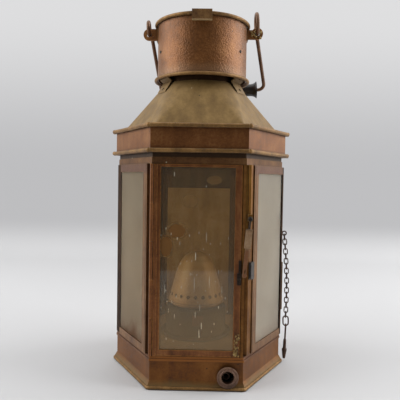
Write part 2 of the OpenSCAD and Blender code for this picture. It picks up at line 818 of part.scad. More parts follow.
// Rivets through the crown wall and on the tongues of its legs
module crown_rivets() {
    leg_x = sqrt(pow(crown_r - sheet_t, 2) - pow(leg_w / 2, 2)) / cos(rivet_turn);
    slope = atan((roof_r * cos30 - facet_at(roof_top_z)) / roof_h);
    tongue_z = roof_top_z - 8;
    color("#5a4326") for (a = leg_turns) {
        rotate(a + rivet_turn) {
            translate([leg_x, 0, rivet_z]) rotate([0, 90, 0]) cylinder(r = 1.2, h = crown_r - leg_x + 0.1, $fn = 24);
            translate([crown_r + 0.05, 0, rivet_z]) rotate([0, 90, 0]) cylinder(r1 = 2, r2 = 1.2, h = 0.9, $fn = 24);
        }
        rotate(a) translate([facet_at(tongue_z) + 2.05, 0, tongue_z]) rotate([0, 90 - slope, 0])
            cylinder(r1 = 2, r2 = 1.2, h = 0.9, $fn = 24);
    }
}

// Shallow domed lid with a clip over the front bead and a knuckle at the back
module crown_lid() {
    rim = crown_r - 0.3;
    over_z = bead_top_z + crown_wire_d / 2 + move_gap;
    clip_y = -(bead_out_r + move_gap);
    t = 0.8;
    color("#8a6a46") difference() {
        union() {
            translate([0, 0, lid_z]) rotate_extrude() polygon(concat(
                [[0, lid_dome_h]],
                [for (i = [1:8]) [rim * 0.9 * i / 8, lid_dome_h * pow(cos(90 * i / 8), 1) * (1 - t / lid_dome_h) + t]],
                [[rim, t], [rim, 0], [rim * 0.86, 0]],
                [for (i = [7:-1:0]) [rim * 0.86 * i / 8, (lid_dome_h - t) * cos(90 * i / 8)]]
            ));
            // clip: step up from the lid, plate over the bead, front plate and rolled lip
            block([-clip_w / 2, -rim + 2, lid_z], [clip_w / 2, -rim + 3, over_z + t]);
            block([-clip_w / 2, clip_y - t, over_z], [clip_w / 2, -rim + 3, over_z + t]);
            block([-clip_w / 2, clip_y - t, over_z + t - clip_h], [clip_w / 2, clip_y, over_z + t]);
            translate([-clip_w / 2, clip_y - t, over_z + t - clip_h + 1]) rotate([0, 90, 0])
                cylinder(r = 1, h = clip_w, $fn = 24);
            // back tongue with the lid's knuckle
            block([-6.8, rim - 3, lid_z], [6.8, rim - 2, over_z + t]);
            block([-6.8, rim - 3, over_z], [6.8, lid_hinge_y, over_z + t]);
            translate([-6.8, lid_hinge_y, lid_hinge_z]) rotate([0, 90, 0]) cylinder(r = lid_knuckle_r, h = 13.6, $fn = 32);
        }
        translate([-9, lid_hinge_y, lid_hinge_z]) rotate([0, 90, 0]) cylinder(r = 1.1 + pin_gap, h = 18, $fn = 32);
    }
}

// Fixed half of the lid hinge: a leaf on the crown wall, two knuckles and the pin
module lid_hinge() {
    leaf_y = crown_r + 0.2;
    out_y = bead_out_r + 1;
    z0 = bead_top_z - 18;
    z1 = bead_top_z - crown_wire_d / 2 - 2;
    color("#7a6040") {
        block([-14, leaf_y, z0], [14, leaf_y + 1.2, z1]);
        block([-14, leaf_y, z1 - 1.2], [14, out_y + 1.2, z1]);
        for (side = [-1, 1]) translate([side * 10.6, 0, 0]) {
            block([-3.4, out_y, z1 - 1.2], [3.4, out_y + 1.2, lid_hinge_z]);
            translate([-3.4, lid_hinge_y, lid_hinge_z]) rotate([0, 90, 0]) cylinder(r = lid_knuckle_r, h = 6.8, $fn = 32);
        }
        translate([-14, lid_hinge_y, lid_hinge_z]) rotate([0, 90, 0]) cylinder(r = 1.1, h = 28, $fn = 32);
    }
}

// Ear that carries one eye of the bail: a strap on the crown wall and a holed lug
module ear(x, z) {
    under_bead = bead_top_z - crown_wire_d / 2 - 0.4;
    rotate([90, 0, 0]) linear_extrude(2, center = true) difference() {
        union() {
            translate([x, z]) circle(r = ear_r);
            translate([crown_r + 1, z - ear_r]) square([x - crown_r - 1, min(2 * ear_r, under_bead - z + ear_r)]);
        }
        translate([x, z]) circle(r = ear_hole_r, $fn = 48);
    }
    block([crown_r + 0.15, -6, z - ear_r - 2.5], [crown_r + 1.3, 6, under_bead]);
}

module left_ear() {
    color("#7a6240") mirror([1, 0, 0]) ear(eye_left_x, ear_left_z);
}

module right_ear() {
    color("#7a6240") ear(eye_x, ear_right_z);
}

// Puts a piece drawn in the bail's own plane, x along its axis and y away from it, where it hangs
module in_bail_plane() {
    translate([0, 0, bail_z]) rotate([0, -bail_tilt, 0]) rotate([bail_hang, 0, 0]) children();
}

function unit(v) = v / norm(v);

// One half of the bail: eye, half the cross bar, and the wire from one to the other;
// x is the eye's centre, set so that the tilted eye passes through the middle of the ear's hole,
// the arm leaves the eye inwards by arm_in, and q is where its line would meet the cross bar's
module bail_half(x, eye_r, arm_in, q_x) {
    wire_r = bail_wire_d / 2;
    q = [q_x, bail_reach];
    p = [x / cos(bail_tilt) - arm_in, eye_r];
    arm = unit(p - q);
    turn = acos(-arm[0]);
    t = bail_bend_r / tan(turn / 2);
    c = q + unit(arm + [-1, 0]) * bail_bend_r / sin(turn / 2);
    path = concat(
        [[p, turn - 90]],
        [for (i = [0:6]) let (a = turn - 90 + (180 - turn) * i / 6) [c + bail_bend_r * [cos(a), sin(a)], a]],
        [[q - [t + 4, 0], 90]]
    );
    translate([x / cos(bail_tilt), 0, 0]) rotate([0, 90, 0]) rotate_extrude()
        translate([eye_r, 0]) circle(r = wire_r, $fn = 32);
    tube([for (k = path) [for (b = [0:30:330]) let (r = wire_r - 0.1)
        [k[0][0] + r * cos(b) * cos(k[1]), k[0][1] + r * cos(b) * sin(k[1]), r * sin(b)]]], loop = false);
    translate([-1, bail_reach, 0]) rotate([0, 90, 0]) cylinder(r = wire_r, h = q_x - t + 1, $fn = 32);
}

module bail() {
    color("#5a4632") in_bail_plane() {
        bail_half(eye_x - eye_right_r * sin(bail_tilt), eye_right_r, 0, bail_right_x);
        mirror([1, 0, 0]) bail_half(eye_left_x + eye_left_r * sin(bail_tilt), eye_left_r, 2.2, -bail_left_x);
    }
}

// Turned grip: flared flat ends, narrow necks and a swelling middle
function grip_r(u) = grip_end_r * pow(abs(u), 14) + grip_mid_r * (1 - 0.22 * pow(abs(u), 4)) * (1 - pow(abs(u), 14));

module bail_grip() {
    steps = 24;
    color("#1c1815") in_bail_plane() translate([grip_right_x - grip_len / 2, bail_reach, 0]) rotate([0, 90, 0])
        rotate_extrude() polygon(concat(
            [[bail_wire_d / 2 + pin_gap, -grip_len / 2]],
            [for (i = [-steps:steps]) let (u = i / steps) [grip_r(u), u * grip_len / 2]],
            [[bail_wire_d / 2 + pin_gap, grip_len / 2]]
        ));
}

module chain_eye() {
    color("#5a4632") {
        translate([chain_x, chain_y, chain_z]) rotate([90, 0, 0]) rotate_extrude()
            translate([2.6, 0]) circle(r = 0.8, $fn = 24);
        block([body_r - 3.1, chain_y - 1, chain_z - 1.4], [chain_x - 2.6, chain_y + 1, chain_z + 1.4]);
    }
}

// Oval link drawn upright round its centre, in the XZ plane
module oval_link(half_len, half_w, wire_r) {
    straight = half_len - half_w;
    tube([for (side = [1, -1]) for (a = [0:36:180]) [for (b = [0:60:300])
        let (out = [side * cos(a), 0, side * sin(a)])
        out * (half_w + wire_r * cos(b)) + [0, -wire_r * sin(b), side * straight]]]);
}

// Links turned a quarter from one to the next, then the larger shackle for the pin
module chain_links() {
    color("#4a3428") translate([chain_x, chain_y, chain_z]) rotate([0, -chain_lean, 0]) translate([0, 0, -chain_z]) {
        for (k = [0:link_count - 1]) let (s = 180 * (k + 0.5) / link_count)
            translate([chain_bow * sin(s), 0, link_top_z - link_half - k * link_pitch])
            rotate([0, -atan(chain_bow * PI / (link_count * link_pitch) * cos(s)), 0])
            rotate([0, 0, k % 2 == 0 ? 90 : 0]) oval_link(link_half, link_mid_w, link_wire_d / 2);
        translate([0, 0, shackle_z]) rotate([0, 0, link_count % 2 == 0 ? 90 : 0])
            oval_link(shackle_half, shackle_w, link_wire_d / 2 + 0.2);
    }
}

// Lock pin: an eye round the shackle, a stepped shank and a blunt barbed head
module lock_pin() {
    color("#3e2c22") translate([pin_x, chain_y, pin_z]) rotate([0, pin_lean, 0]) {
        rotate([0, 90, 0]) rotate_extrude() translate([pin_eye_r, 0]) circle(r = 0.7, $fn = 24);
        translate([0, 0, -pin_len]) rotate_extrude($fn = 32) polygon([
            [0, 0], [1.3, 0], [1.7, 0.6], [3.2, 11.2], [3.2, 12.4], [2, 14], [1.9, 24], [1.1, 26],
            [1.1, pin_len - pin_eye_r], [0, pin_len - pin_eye_r]
        ]);
    }
}

module drip_tray() {
    tray_r = font_r + 6;
    color("#8a6d48") translate([burner_x, 0, burner_z + solder]) rotate_extrude() polygon([
        [0, 0], [tray_r - 2, 0], [tray_r, tray_h], [tray_r - 0.9, tray_h], [tray_r - 2.6, 1], [0, 1]
    ]);
}

// Round font with rolled shoulders, a square clip on its front and a well for the wick
module burner_font() {
    color("#8d7350") difference() {
        union() {
            translate([burner_x, 0, font_z]) rotate_extrude() polygon(concat(
                [[0, 0], [font_r - 3, 0], [font_r, 3]],
                [for (a = [0:15:90]) [font_r - 5 + 5 * cos(a), font_h - 5 + 5 * sin(a)]],
                [[0, font_h]]
            ));
            block([burner_x - 3.6, -font_r - 1.4, font_z + font_h / 2 - 1.6],
                  [burner_x + 9.7, -font_r + 4, font_z + font_h / 2 + 11.4]);
        }
        translate([burner_x, 0, 0]) block([-wick_w / 2 - 2, -3.2, font_top_z - 14], [wick_w / 2 + 2, 9.4, font_top_z + 1]);
    }
}

// Burner deck that carries the bell, with the wick tube and the housing of the wick wheel
module burner_gallery() {
    deck_z = font_top_z + gallery_h;
    wall = 0.8;
    slot_y = wick_t / 2 + move_gap;
    color("#9a7340") translate([burner_x, 0, 0]) difference() {
        union() {
            translate([0, 0, font_top_z + solder]) cylinder(r = bell_r - 2.8, h = gallery_h - solder);
            translate([0, 0, deck_z]) cylinder(r = bell_r + 1.2, h = 1);
            translate([0, 0, deck_z]) cylinder(r = bell_r - 1.6, h = 3.6);
            block([-wick_w / 2 - 2, -3, deck_z], [wick_w / 2 + 2, 9.2, deck_z + 6]);
            block([-wick_w / 2 - 1.2, -slot_y - wall, deck_z], [wick_w / 2 + 1.2, slot_y + wall, deck_z + 42]);
        }
        block([-wick_w / 2 - move_gap, -slot_y, font_top_z - 1], [wick_w / 2 + move_gap, slot_y, deck_z + 43]);
        block([-6, 0, font_top_z - 1], [6, 8.4, deck_z + 3.4]);
        translate([0, spindle_y, spindle_z]) rotate([0, -90, 0]) cylinder(r = 1 + pin_gap, h = 60, $fn = 32);
    }
}

// Half-width and height along the side of the bell, from its rim to its crown
function bell_curve(t, r, h) = let (a = pow(1 - t, 3), b = 3 * t * pow(1 - t, 2), c = 3 * t * t * (1 - t), d = t * t * t)
    [r * (a + 0.787 * b + 0.7 * c), h * (0.05 * a + 0.445 * b + 0.985 * c + d)];

module burner_bell() {
    t = 0.8;
    steps = 8;
    hole_z = 9;
    color("#9a6a3c") translate([burner_x, 0, bell_z]) difference() {
        rotate_extrude() polygon(concat(
            [[bell_r, 0]],
            [for (i = [0:steps]) bell_curve(i / steps, bell_r, bell_h)],
            [for (i = [steps:-1:0]) bell_curve(i / steps, bell_r - t, bell_h - t)],
            [[bell_r - t, 0]]
        ));
        for (k = [0:bell_hole_count - 1]) rotate(360 * (k + 0.5) / bell_hole_count) translate([bell_r / 2, 0, hole_z])
            rotate([0, 90, 0]) cylinder(r = bell_hole_r, h = bell_r, $fn = 24);
        translate([0, 0, bell_h]) cube([wick_w + 3, wick_t + 3, 14], center = true);
    }
}

module wick() {
    color("#cfc6ae") translate([burner_x, 0, 0])
        block([-wick_w / 2, -wick_t / 2, font_top_z - 12], [wick_w / 2, wick_t / 2, font_top_z + gallery_h + 45]);
}

// Toothed wheel against the wick, turned by a knob outside the font
module wick_spindle() {
    wheel_r = spindle_y - wick_t / 2 - move_gap;
    knob_x = font_r + 5;
    color("#8a6a3a") translate([burner_x, spindle_y, spindle_z]) rotate([0, -90, 0]) {
        translate([0, 0, -4]) cylinder(r = 1, h = knob_x + 5, $fn = 32);
        difference() {
            translate([0, 0, -4]) cylinder(r = wheel_r, h = 8, $fn = 32);
            for (k = [0:9]) rotate(36 * k) translate([wheel_r, 0, -5]) cylinder(r = 0.5, h = 10, $fn = 12);
        }
        difference() {
            translate([0, 0, knob_x]) cylinder(r = 4.6, h = 4, $fn = 48);
            for (k = [0:17]) rotate(20 * k) translate([4.8, 0, knob_x - 1]) cylinder(r = 0.45, h = 6, $fn = 12);
        }
    }
}

base_plate();
foot_wire();
plinth_wall();
vent_ferrule();
sill_moulding();
floor_pan();
hinge_post();
latch_post();
corner_posts();
door_surround();
back_panel();
rear_left_panel();
rear_right_panel();
back_liner();
wall_bracket();
left_window_frame();
right_window_frame();
left_window_channel();
right_window_channel();
left_window_glass();
right_window_glass();
lashing_bar();
door_frame();
door_glass();
door_glass_strips();
door_hinge_leaf();
door_catch_tab();
body_hinge_knuckles();
door_hinge_pin();
jamb_strip();
latch_guide();
latch_pivot();
latch_lever();
latch_keeper();
cornice();
band();
lower_band_bead();
upper_band_bead();
roof_cowl();
chimney_collar();
crown_wall();
crown_beads();
crown_legs();
crown_rivets();
crown_lid();
lid_hinge();
left_ear();
right_ear();
bail();
bail_grip();
chain_eye();
chain_links();
lock_pin();
drip_tray();
burner_font();
burner_gallery();
burner_bell();
wick();
wick_spindle();
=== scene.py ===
# Ship's cabin lantern: aged brass and copper sheet, glazed on three sides, with its studio sweep.
from math import atan, cos, pi, radians, sin, tan
import bpy
import numpy as np
from mathutils import Matrix, Vector


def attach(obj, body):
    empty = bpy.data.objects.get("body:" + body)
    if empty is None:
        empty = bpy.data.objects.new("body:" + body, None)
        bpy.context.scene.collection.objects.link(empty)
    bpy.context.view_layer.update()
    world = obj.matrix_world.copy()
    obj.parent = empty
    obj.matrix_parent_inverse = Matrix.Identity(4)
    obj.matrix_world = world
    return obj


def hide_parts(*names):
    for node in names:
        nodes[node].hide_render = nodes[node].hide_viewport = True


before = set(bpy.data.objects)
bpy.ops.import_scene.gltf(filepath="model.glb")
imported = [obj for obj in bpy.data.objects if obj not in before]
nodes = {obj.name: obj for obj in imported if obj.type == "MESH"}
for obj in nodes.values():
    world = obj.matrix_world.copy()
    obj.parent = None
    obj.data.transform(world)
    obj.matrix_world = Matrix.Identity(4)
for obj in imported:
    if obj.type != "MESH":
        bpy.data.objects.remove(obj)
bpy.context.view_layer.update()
mm = 0.001
noisePerMm = 600  # noise scale whose patches are about 1 mm across
cellsPerMm = 1000  # cell scale whose cells are 1 mm across
bandsPerMm = 363  # wave scale whose diagonal bands are 1 mm apart
chance = np.random.default_rng(7)
print("frame loaded")


# sRGB hex to linear: divided by 12.92 near black, else the 2.4 power of the offset value
def linear(code):
    c = np.array([int(code[i:i + 2], 16) for i in (1, 3, 5)]) / 255
    return (*np.where(c <= 0.04045, c / 12.92, ((c + 0.055) / 1.055) ** 2.4).tolist(), 1)


# Adds a node, sets its properties, and gives each input a value or a link
def addNode(tree, kind, inputs=None, **settings):
    made = tree.nodes.new(kind)
    for name, value in settings.items():
        setattr(made, name, value)
    for key, value in (inputs or {}).items():
        if isinstance(value, bpy.types.NodeSocket):
            tree.links.new(value, made.inputs[key])
        else:
            made.inputs[key].default_value = value
    return made


def newMaterial(name):
    material = bpy.data.materials.new(name)
    material.use_nodes = True
    material.node_tree.nodes.clear()
    return material, material.node_tree


def paint(material, *names):
    for name in names:
        slots = nodes[name].data.materials
        for i in range(len(slots)):
            slots[i] = material
        if not len(slots):
            slots.append(material)


# Joins grids of points, each (points, wrapU, wrapV), into one mesh: point (i, j) makes a quad
# with its next neighbours both ways, and a wrapped direction joins its last row to its first
def addPiece(name, grids, material, body, replaces=()):
    points, quads, base = [], [], 0
    for grid, wrapU, wrapV in grids:
        m, n = grid.shape[:2]
        i, j = np.meshgrid(np.arange(m if wrapU else m - 1), np.arange(n if wrapV else n - 1), indexing="ij")
        k, l = (i + 1) % m, (j + 1) % n
        quads.append(base + np.stack([i * n + j, k * n + j, k * n + l, i * n + l], -1).reshape(-1, 4))
        points.append(grid.reshape(-1, 3))
        base += m * n
    points, quads = np.concatenate(points), np.concatenate(quads)
    mesh = bpy.data.meshes.new(name)
    mesh.from_pydata((points * mm).tolist(), [], quads.tolist())
    mesh.polygons.foreach_set("use_smooth", np.full(len(quads), True))
    mesh.materials.append(material)
    mesh.validate()
    made = bpy.data.objects.new(name, mesh)
    bpy.context.scene.collection.objects.link(made)
    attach(made, body)
    if replaces:
        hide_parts(*replaces)


# Round section carried along a path in one plane: each row is the path point plus radius times
# (cos a along the plane's normal + sin a along normal cross tangent)
def sweep(path, normal, radius, sides, closed=False):
    path, normal = np.asarray(path, float), np.asarray(normal, float)
    ahead = np.roll(path, -1, 0) - path if closed else np.gradient(path, axis=0)
    back = path - np.roll(path, 1, 0) if closed else ahead
    tangent = ahead / np.linalg.norm(ahead, axis=1)[:, None] + back / np.linalg.norm(back, axis=1)[:, None]
    tangent /= np.linalg.norm(tangent, axis=1)[:, None]
    side = np.cross(normal, tangent)
    a = np.linspace(0, 2 * pi, sides, endpoint=False)[None, :, None]
    r = np.broadcast_to(radius, len(path))[:, None, None]
    grid = path[:, None] + r * (np.cos(a) * normal + np.sin(a) * side[:, None])
    if not closed:
        grid = np.concatenate([path[:1, None].repeat(sides, 1), grid, path[-1:, None].repeat(sides, 1)])
    return grid, closed, True


# Lump: a sphere of unit points scaled by the three radii, each point moved out or in by chance
def lump(centre, radii, rough, rows=7, sides=12):
    u, v = np.linspace(0, pi, rows), np.linspace(0, 2 * pi, sides, endpoint=False)
    unit = np.stack([np.sin(u)[:, None] * np.cos(v), np.sin(u)[:, None] * np.sin(v),
                     np.cos(u)[:, None] + 0 * v], -1)
    grow = 1 + rough * (chance.random((rows, sides, 1)) - 0.5) * 2
    grow[[0, -1]] = 1
    return np.asarray(centre) + unit * grow * np.asarray(radii), False, True


# Sum of three sine waves with chance phases: a soft waver of the given size along s
def waver(s, size, length):
    phase = chance.random(3) * 2 * pi
    return size * sum(np.sin(2 * pi * s / length * k + p) / k for k, p in zip((1, 2.3, 4.1), phase)) / 1.5


def addCamera():
    view = dict(lens=44.32, place=(9.19 * mm, -628.0 * mm, 232.6 * mm), ahead=(-0.01454, 0.99989),
                pitch=2.321, roll=0.91)
    p, r = radians(view["pitch"]), radians(view["roll"])
    forward = Vector((view["ahead"][0] * cos(p), view["ahead"][1] * cos(p), -sin(p))).normalized()
    right = forward.cross(Vector((0, 0, 1))).normalized()
    up = right.cross(forward)
    right, up = right * cos(r) + up * sin(r), up * cos(r) - right * sin(r)
    data = bpy.data.cameras.new("camera")
    data.lens, data.sensor_width, data.clip_start = view["lens"], 36, 0.02
    camera = bpy.data.objects.new("camera", data)
    turned = Matrix((right, up, -forward)).transposed().to_4x4()
    camera.matrix_world = Matrix.Translation(view["place"]) @ turned
    bpy.context.scene.collection.objects.link(camera)
    bpy.context.scene.camera = camera


addCamera()
print("camera placed")


# Sheet metal with a patina. Tones are mixed by patchy noise and downward runs, corners and gaps are
# darkened by ambient occlusion, painted shade that also stands for dirt, edges rub bright, old whitewash
# and pits dot it, dust greys it at a slant, and a fine grain gives the roughness and the relief
def agedMetal(name, s):
    material, t = newMaterial(name)
    runMm, dentMm, grainShare = 7, 30, 0.42
    place = addNode(t, "ShaderNodeTexCoord").outputs["Object"]
    patch = addNode(t, "ShaderNodeTexNoise", {"Vector": place, "Scale": noisePerMm / s["patchMm"],
                                              "Detail": 6, "Roughness": 0.62, "Distortion": 0.4})
    fine = addNode(t, "ShaderNodeTexNoise", {"Vector": place, "Scale": noisePerMm / s["grainMm"], "Detail": 4,
                                             "Roughness": 0.7})
    tall = addNode(t, "ShaderNodeMapping", {"Vector": place, "Scale": (1, 1, 0.12)})
    runs = addNode(t, "ShaderNodeTexNoise", {"Vector": tall.outputs[0], "Scale": noisePerMm / runMm,
                                             "Detail": 5, "Roughness": 0.6})
    grained = addNode(t, "ShaderNodeMix", {"Factor": grainShare, 2: patch.outputs["Fac"],
                                           3: fine.outputs["Fac"]}, data_type="FLOAT")
    streaked = addNode(t, "ShaderNodeMix", {"Factor": s.get("runShare", 0.25), 2: grained.outputs[0],
                                            3: runs.outputs["Fac"]}, data_type="FLOAT")
    ramp = addNode(t, "ShaderNodeValToRGB", {"Fac": streaked.outputs[0]})
    tones = s["tones"]
    while len(ramp.color_ramp.elements) < len(tones):
        ramp.color_ramp.elements.new(0.5)
    for k, code in enumerate(tones):
        ramp.color_ramp.elements[k].position = 0.39 + 0.22 * k / (len(tones) - 1)  # where noise mostly lies
        ramp.color_ramp.elements[k].color = linear(code)
    colour = ramp.outputs["Color"]
    for band in s.get("bands", ()):  # a tone that comes in over a range of one coordinate, broken by noise
        split = addNode(t, "ShaderNodeSeparateXYZ", {"Vector": place})
        wander = addNode(t, "ShaderNodeMath", {0: patch.outputs["Fac"], 1: band["wander"] * mm,
                                               2: split.outputs[band["along"]]}, operation="MULTIPLY_ADD")
        shift = band["wander"] / 2
        share = addNode(t, "ShaderNodeMapRange", {"Value": wander.outputs[0],
                                                  "From Min": (band["start"] + shift) * mm,
                                                  "From Max": (band["end"] + shift) * mm,
                                                  "To Max": band["share"]}, interpolation_type="SMOOTHSTEP")
        colour = addNode(t, "ShaderNodeMix", {"Factor": share.outputs[0], "A": colour,
                                              "B": linear(band["tone"])}, data_type="RGBA").outputs["Result"]
    if s.get("edge"):
        soft = addNode(t, "ShaderNodeBevel", {"Radius": s.get("edgeMm", 1.2) * mm}, samples=4)
        face = addNode(t, "ShaderNodeNewGeometry")
        apart = addNode(t, "ShaderNodeVectorMath", {0: soft.outputs[0], 1: face.outputs["Normal"]},
                        operation="DOT_PRODUCT")
        # the bevelled normal leaves the face's own where an edge is near
        worn = addNode(t, "ShaderNodeMapRange", {"Value": apart.outputs["Value"], "From Min": 0.995,
                                                 "From Max": 0.86, "To Max": s.get("edgeShare", 0.8)})
        broken = addNode(t, "ShaderNodeMapRange", {"Value": fine.outputs["Fac"], "From Min": 0.35,
                                                   "From Max": 0.55})
        rubbed = addNode(t, "ShaderNodeMath", {0: worn.outputs[0], 1: broken.outputs[0]},
                         operation="MULTIPLY")
        colour = addNode(t, "ShaderNodeMix", {"Factor": rubbed.outputs[0], "A": colour,
                                              "B": linear(s["edge"])}, data_type="RGBA").outputs["Result"]
    # painted shade: ambient occlusion darkens corners, recesses and gaps between parts, broken by the
    # patches, and stands for dirt there too
    if s.get("shadeAndGrime"):
        near = addNode(t, "ShaderNodeAmbientOcclusion", {"Distance": s.get("shadeAndGrimeMm", 5) * mm}, samples=8)
        corner = addNode(t, "ShaderNodeMapRange", {"Value": near.outputs["AO"], "From Min": 0.85,
                                                   "From Max": 0.3, "To Max": s.get("shadeAndGrimeShare", 0.8)})
        uneven = addNode(t, "ShaderNodeMapRange", {"Value": patch.outputs["Fac"], "From Min": 0.25,
                                                   "From Max": 0.6, "To Min": 0.4, "To Max": 1})
        settledAndShaded = addNode(t, "ShaderNodeMath", {0: corner.outputs[0], 1: uneven.outputs[0]},
                          operation="MULTIPLY")
        colour = addNode(t, "ShaderNodeMix", {"Factor": settledAndShaded.outputs[0], "A": colour,
                                              "B": linear(s["shadeAndGrime"])}, data_type="RGBA").outputs["Result"]
    spots = ((s.get("specks", 0), s.get("speckMm", 9), 0.1, "#c9c0a4"),
             (s.get("pits", 0), 6, 0.16, "#1e140a"))
    for portion, spacing, size, tone in spots:
        if portion:
            cells = addNode(t, "ShaderNodeTexVoronoi", {"Vector": place, "Scale": cellsPerMm / spacing})
            chosen = addNode(t, "ShaderNodeMapRange",
                             {"Value": cells.outputs["Color"], "From Min": 1 - portion,
                              "From Max": 1.02 - portion})
            dot = addNode(t, "ShaderNodeMapRange",
                          {"Value": cells.outputs["Distance"], "From Min": size, "From Max": size / 2})
            drop = addNode(t, "ShaderNodeMath", {0: chosen.outputs[0], 1: dot.outputs[0]},
                           operation="MULTIPLY")
            colour = addNode(t, "ShaderNodeMix", {"Factor": drop.outputs[0], "A": colour, "B": linear(tone)},
                             data_type="RGBA").outputs["Result"]
    rough = addNode(t, "ShaderNodeMapRange", {"Value": fine.outputs["Fac"], "From Min": 0.3, "From Max": 0.7,
                                              "To Min": s["rough"][0], "To Max": s["rough"][1]})
    relief = addNode(t, "ShaderNodeBump", {"Strength": s["relief"], "Distance": 0.3 * mm,
                                           "Height": fine.outputs["Fac"]})
    if s.get("peelMm"):
        peel = addNode(t, "ShaderNodeTexVoronoi", {"Vector": place, "Scale": cellsPerMm / s["peelMm"],
                                                   "Smoothness": 0.6}, feature="SMOOTH_F1")
        relief = addNode(t, "ShaderNodeBump", {"Strength": s["peel"], "Distance": 0.5 * mm,
                                               "Height": peel.outputs["Distance"],
                                               "Normal": relief.outputs[0]})
    if s.get("dent"):
        buckle = addNode(t, "ShaderNodeTexNoise", {"Vector": place, "Scale": noisePerMm / dentMm,
                                                   "Detail": 1})
        relief = addNode(t, "ShaderNodeBump", {"Strength": s["dent"], "Distance": 3 * mm,
                                               "Height": buckle.outputs["Fac"], "Normal": relief.outputs[0]})
    shader = addNode(t, "ShaderNodeBsdfPrincipled",
                     {"Base Color": colour, "Metallic": s["metallic"], "Roughness": rough.outputs[0],
                      "Normal": relief.outputs[0], "Sheen Weight": s.get("dust", 0.06),
                      "Sheen Roughness": 0.5, "Sheen Tint": linear("#e8e2d8")})
    addNode(t, "ShaderNodeOutputMaterial", {"Surface": shader.outputs[0]})
    return material


# Copper sheet of the crown, gone brown, its old lacquer shrunk to an orange-peel skin
crownCopper = agedMetal("crownCopper", dict(
    tones=("#5a340a", "#74461a", "#8a5a2c"), patchMm=20, grainMm=1.6, rough=(0.36, 0.54), metallic=0.42,
    pits=0.12, shadeAndGrime="#3a2616", specks=0.05, peelMm=1.8, peel=0.6, relief=0.3, runShare=0.2, dent=0.12,
    bands=(dict(along="Z", start=372, end=360, tone="#8a6a4c", share=0.45, wander=10),)))
# Lid and its clip, khaki brown with a rubbed lip
lidBrass = agedMetal("lidBrass", dict(
    tones=("#55371a", "#724f28", "#8a673a"), patchMm=9, grainMm=1.3, rough=(0.42, 0.6), metallic=0.35,
    shadeAndGrime="#2c1c0e", specks=0.12, speckMm=6, relief=0.35, edge="#a88c60", edgeMm=0.9, edgeShare=0.8,
    bands=(dict(along="Z", start=416, end=414.6, tone="#ab9064", share=0.85, wander=0.6),)))
# Inner flue of smoked copper, nearly black
smokedCopper = agedMetal("smokedCopper", dict(
    tones=("#2a1a0e", "#3a2616", "#48321e"), patchMm=16, grainMm=1.5, rough=(0.55, 0.75), metallic=0.85,
    relief=0.3, dust=0))
# Brass roof and its tongues under a dull khaki film of dust and oxide, with scattered drops
roofBrass = agedMetal("roofBrass", dict(
    tones=("#664c20", "#7c6030", "#917442"), patchMm=22, grainMm=1.8, rough=(0.46, 0.66), metallic=0.35,
    pits=0.2, shadeAndGrime="#4c381c", shadeAndGrimeMm=8, specks=0.14, runShare=0.35, relief=0.35, dent=0.15,
    bands=(dict(along="Z", start=330, end=350, tone="#6a5230", share=0.35, wander=14),)))
# Soldered brass wires, brown with khaki wear
wireBrass = agedMetal("wireBrass", dict(
    tones=("#5c4220", "#7c5a2e", "#967242"), patchMm=9, grainMm=1.3, rough=(0.45, 0.65), metallic=0.5,
    pits=0.2, shadeAndGrime="#2e1e10", specks=0.2, speckMm=6, relief=0.5, edge="#9a7c4e"))
# Ears of thick brass, orange-brown where the bail rubs
earBrass = agedMetal("earBrass", dict(
    tones=("#6e4220", "#92602e", "#ac7c48"), patchMm=5, grainMm=1.0, rough=(0.45, 0.65), metallic=0.45,
    shadeAndGrime="#2e1a0c", specks=0.3, speckMm=4, relief=0.5, edge="#b48c58"))
# Band sheet: red-brown oxide over brass, nearly smooth
bandBrass = agedMetal("bandBrass", dict(
    tones=("#5c3512", "#784920", "#8c5f34"), patchMm=24, grainMm=1.5, rough=(0.38, 0.56), metallic=0.55,
    pits=0.12, shadeAndGrime="#2e1a0c", specks=0.05, relief=0.3, runShare=0.15, dent=0.1))
# Cornice of folded brass, with a painted shadow above its step under the band's bead, and strong painted
# shade with dirt in its corners
corniceBrass = agedMetal("corniceBrass", dict(
    tones=("#4c3012", "#664220", "#7c5832"), patchMm=16, grainMm=1.5, rough=(0.45, 0.62), metallic=0.55,
    shadeAndGrime="#1c1208", shadeAndGrimeMm=8, shadeAndGrimeShare=0.95, specks=0.08, relief=0.35, edge="#84683c", edgeMm=0.8,
    bands=(dict(along="Z", start=257.2, end=258.2, tone="#2c1e10", share=0.75, wander=0.6),)))
# Foot sheet, handled to a red brown, with khaki dust on its flare
plinthBrass = agedMetal("plinthBrass", dict(
    tones=("#502b07", "#6b3d08", "#7f4e18"), patchMm=20, grainMm=1.5, rough=(0.42, 0.62), metallic=0.5,
    pits=0.12, shadeAndGrime="#2e1c0e", specks=0.05, relief=0.35, dent=0.1,
    bands=(dict(along="Z", start=12, end=3, tone="#6e5a36", share=0.8, wander=9),)))
# Bottom moulding, stained orange along its edge by rust that ran down the door
sillBrass = agedMetal("sillBrass", dict(
    tones=("#4c2e16", "#683f20", "#7e5530"), patchMm=12, grainMm=1.4, rough=(0.42, 0.62), metallic=0.5,
    shadeAndGrime="#341c0a", specks=0.08, relief=0.4,
    bands=(dict(along="Y", start=-89.6, end=-90.6, tone="#8a5218", share=0.85, wander=0.4),)))
# Door frame and its hinge: dark brown brass, rubbed yellow on the edges
frameBrass = agedMetal("frameBrass", dict(
    tones=("#4c2a0c", "#744420", "#8e5e34"), patchMm=9, grainMm=1.3, rough=(0.35, 0.55), metallic=0.55,
    pits=0.15, shadeAndGrime="#160a02", edge="#b87c36", edgeMm=1.3, edgeShare=0.95, specks=0.05, runShare=0.45,
    relief=0.3))
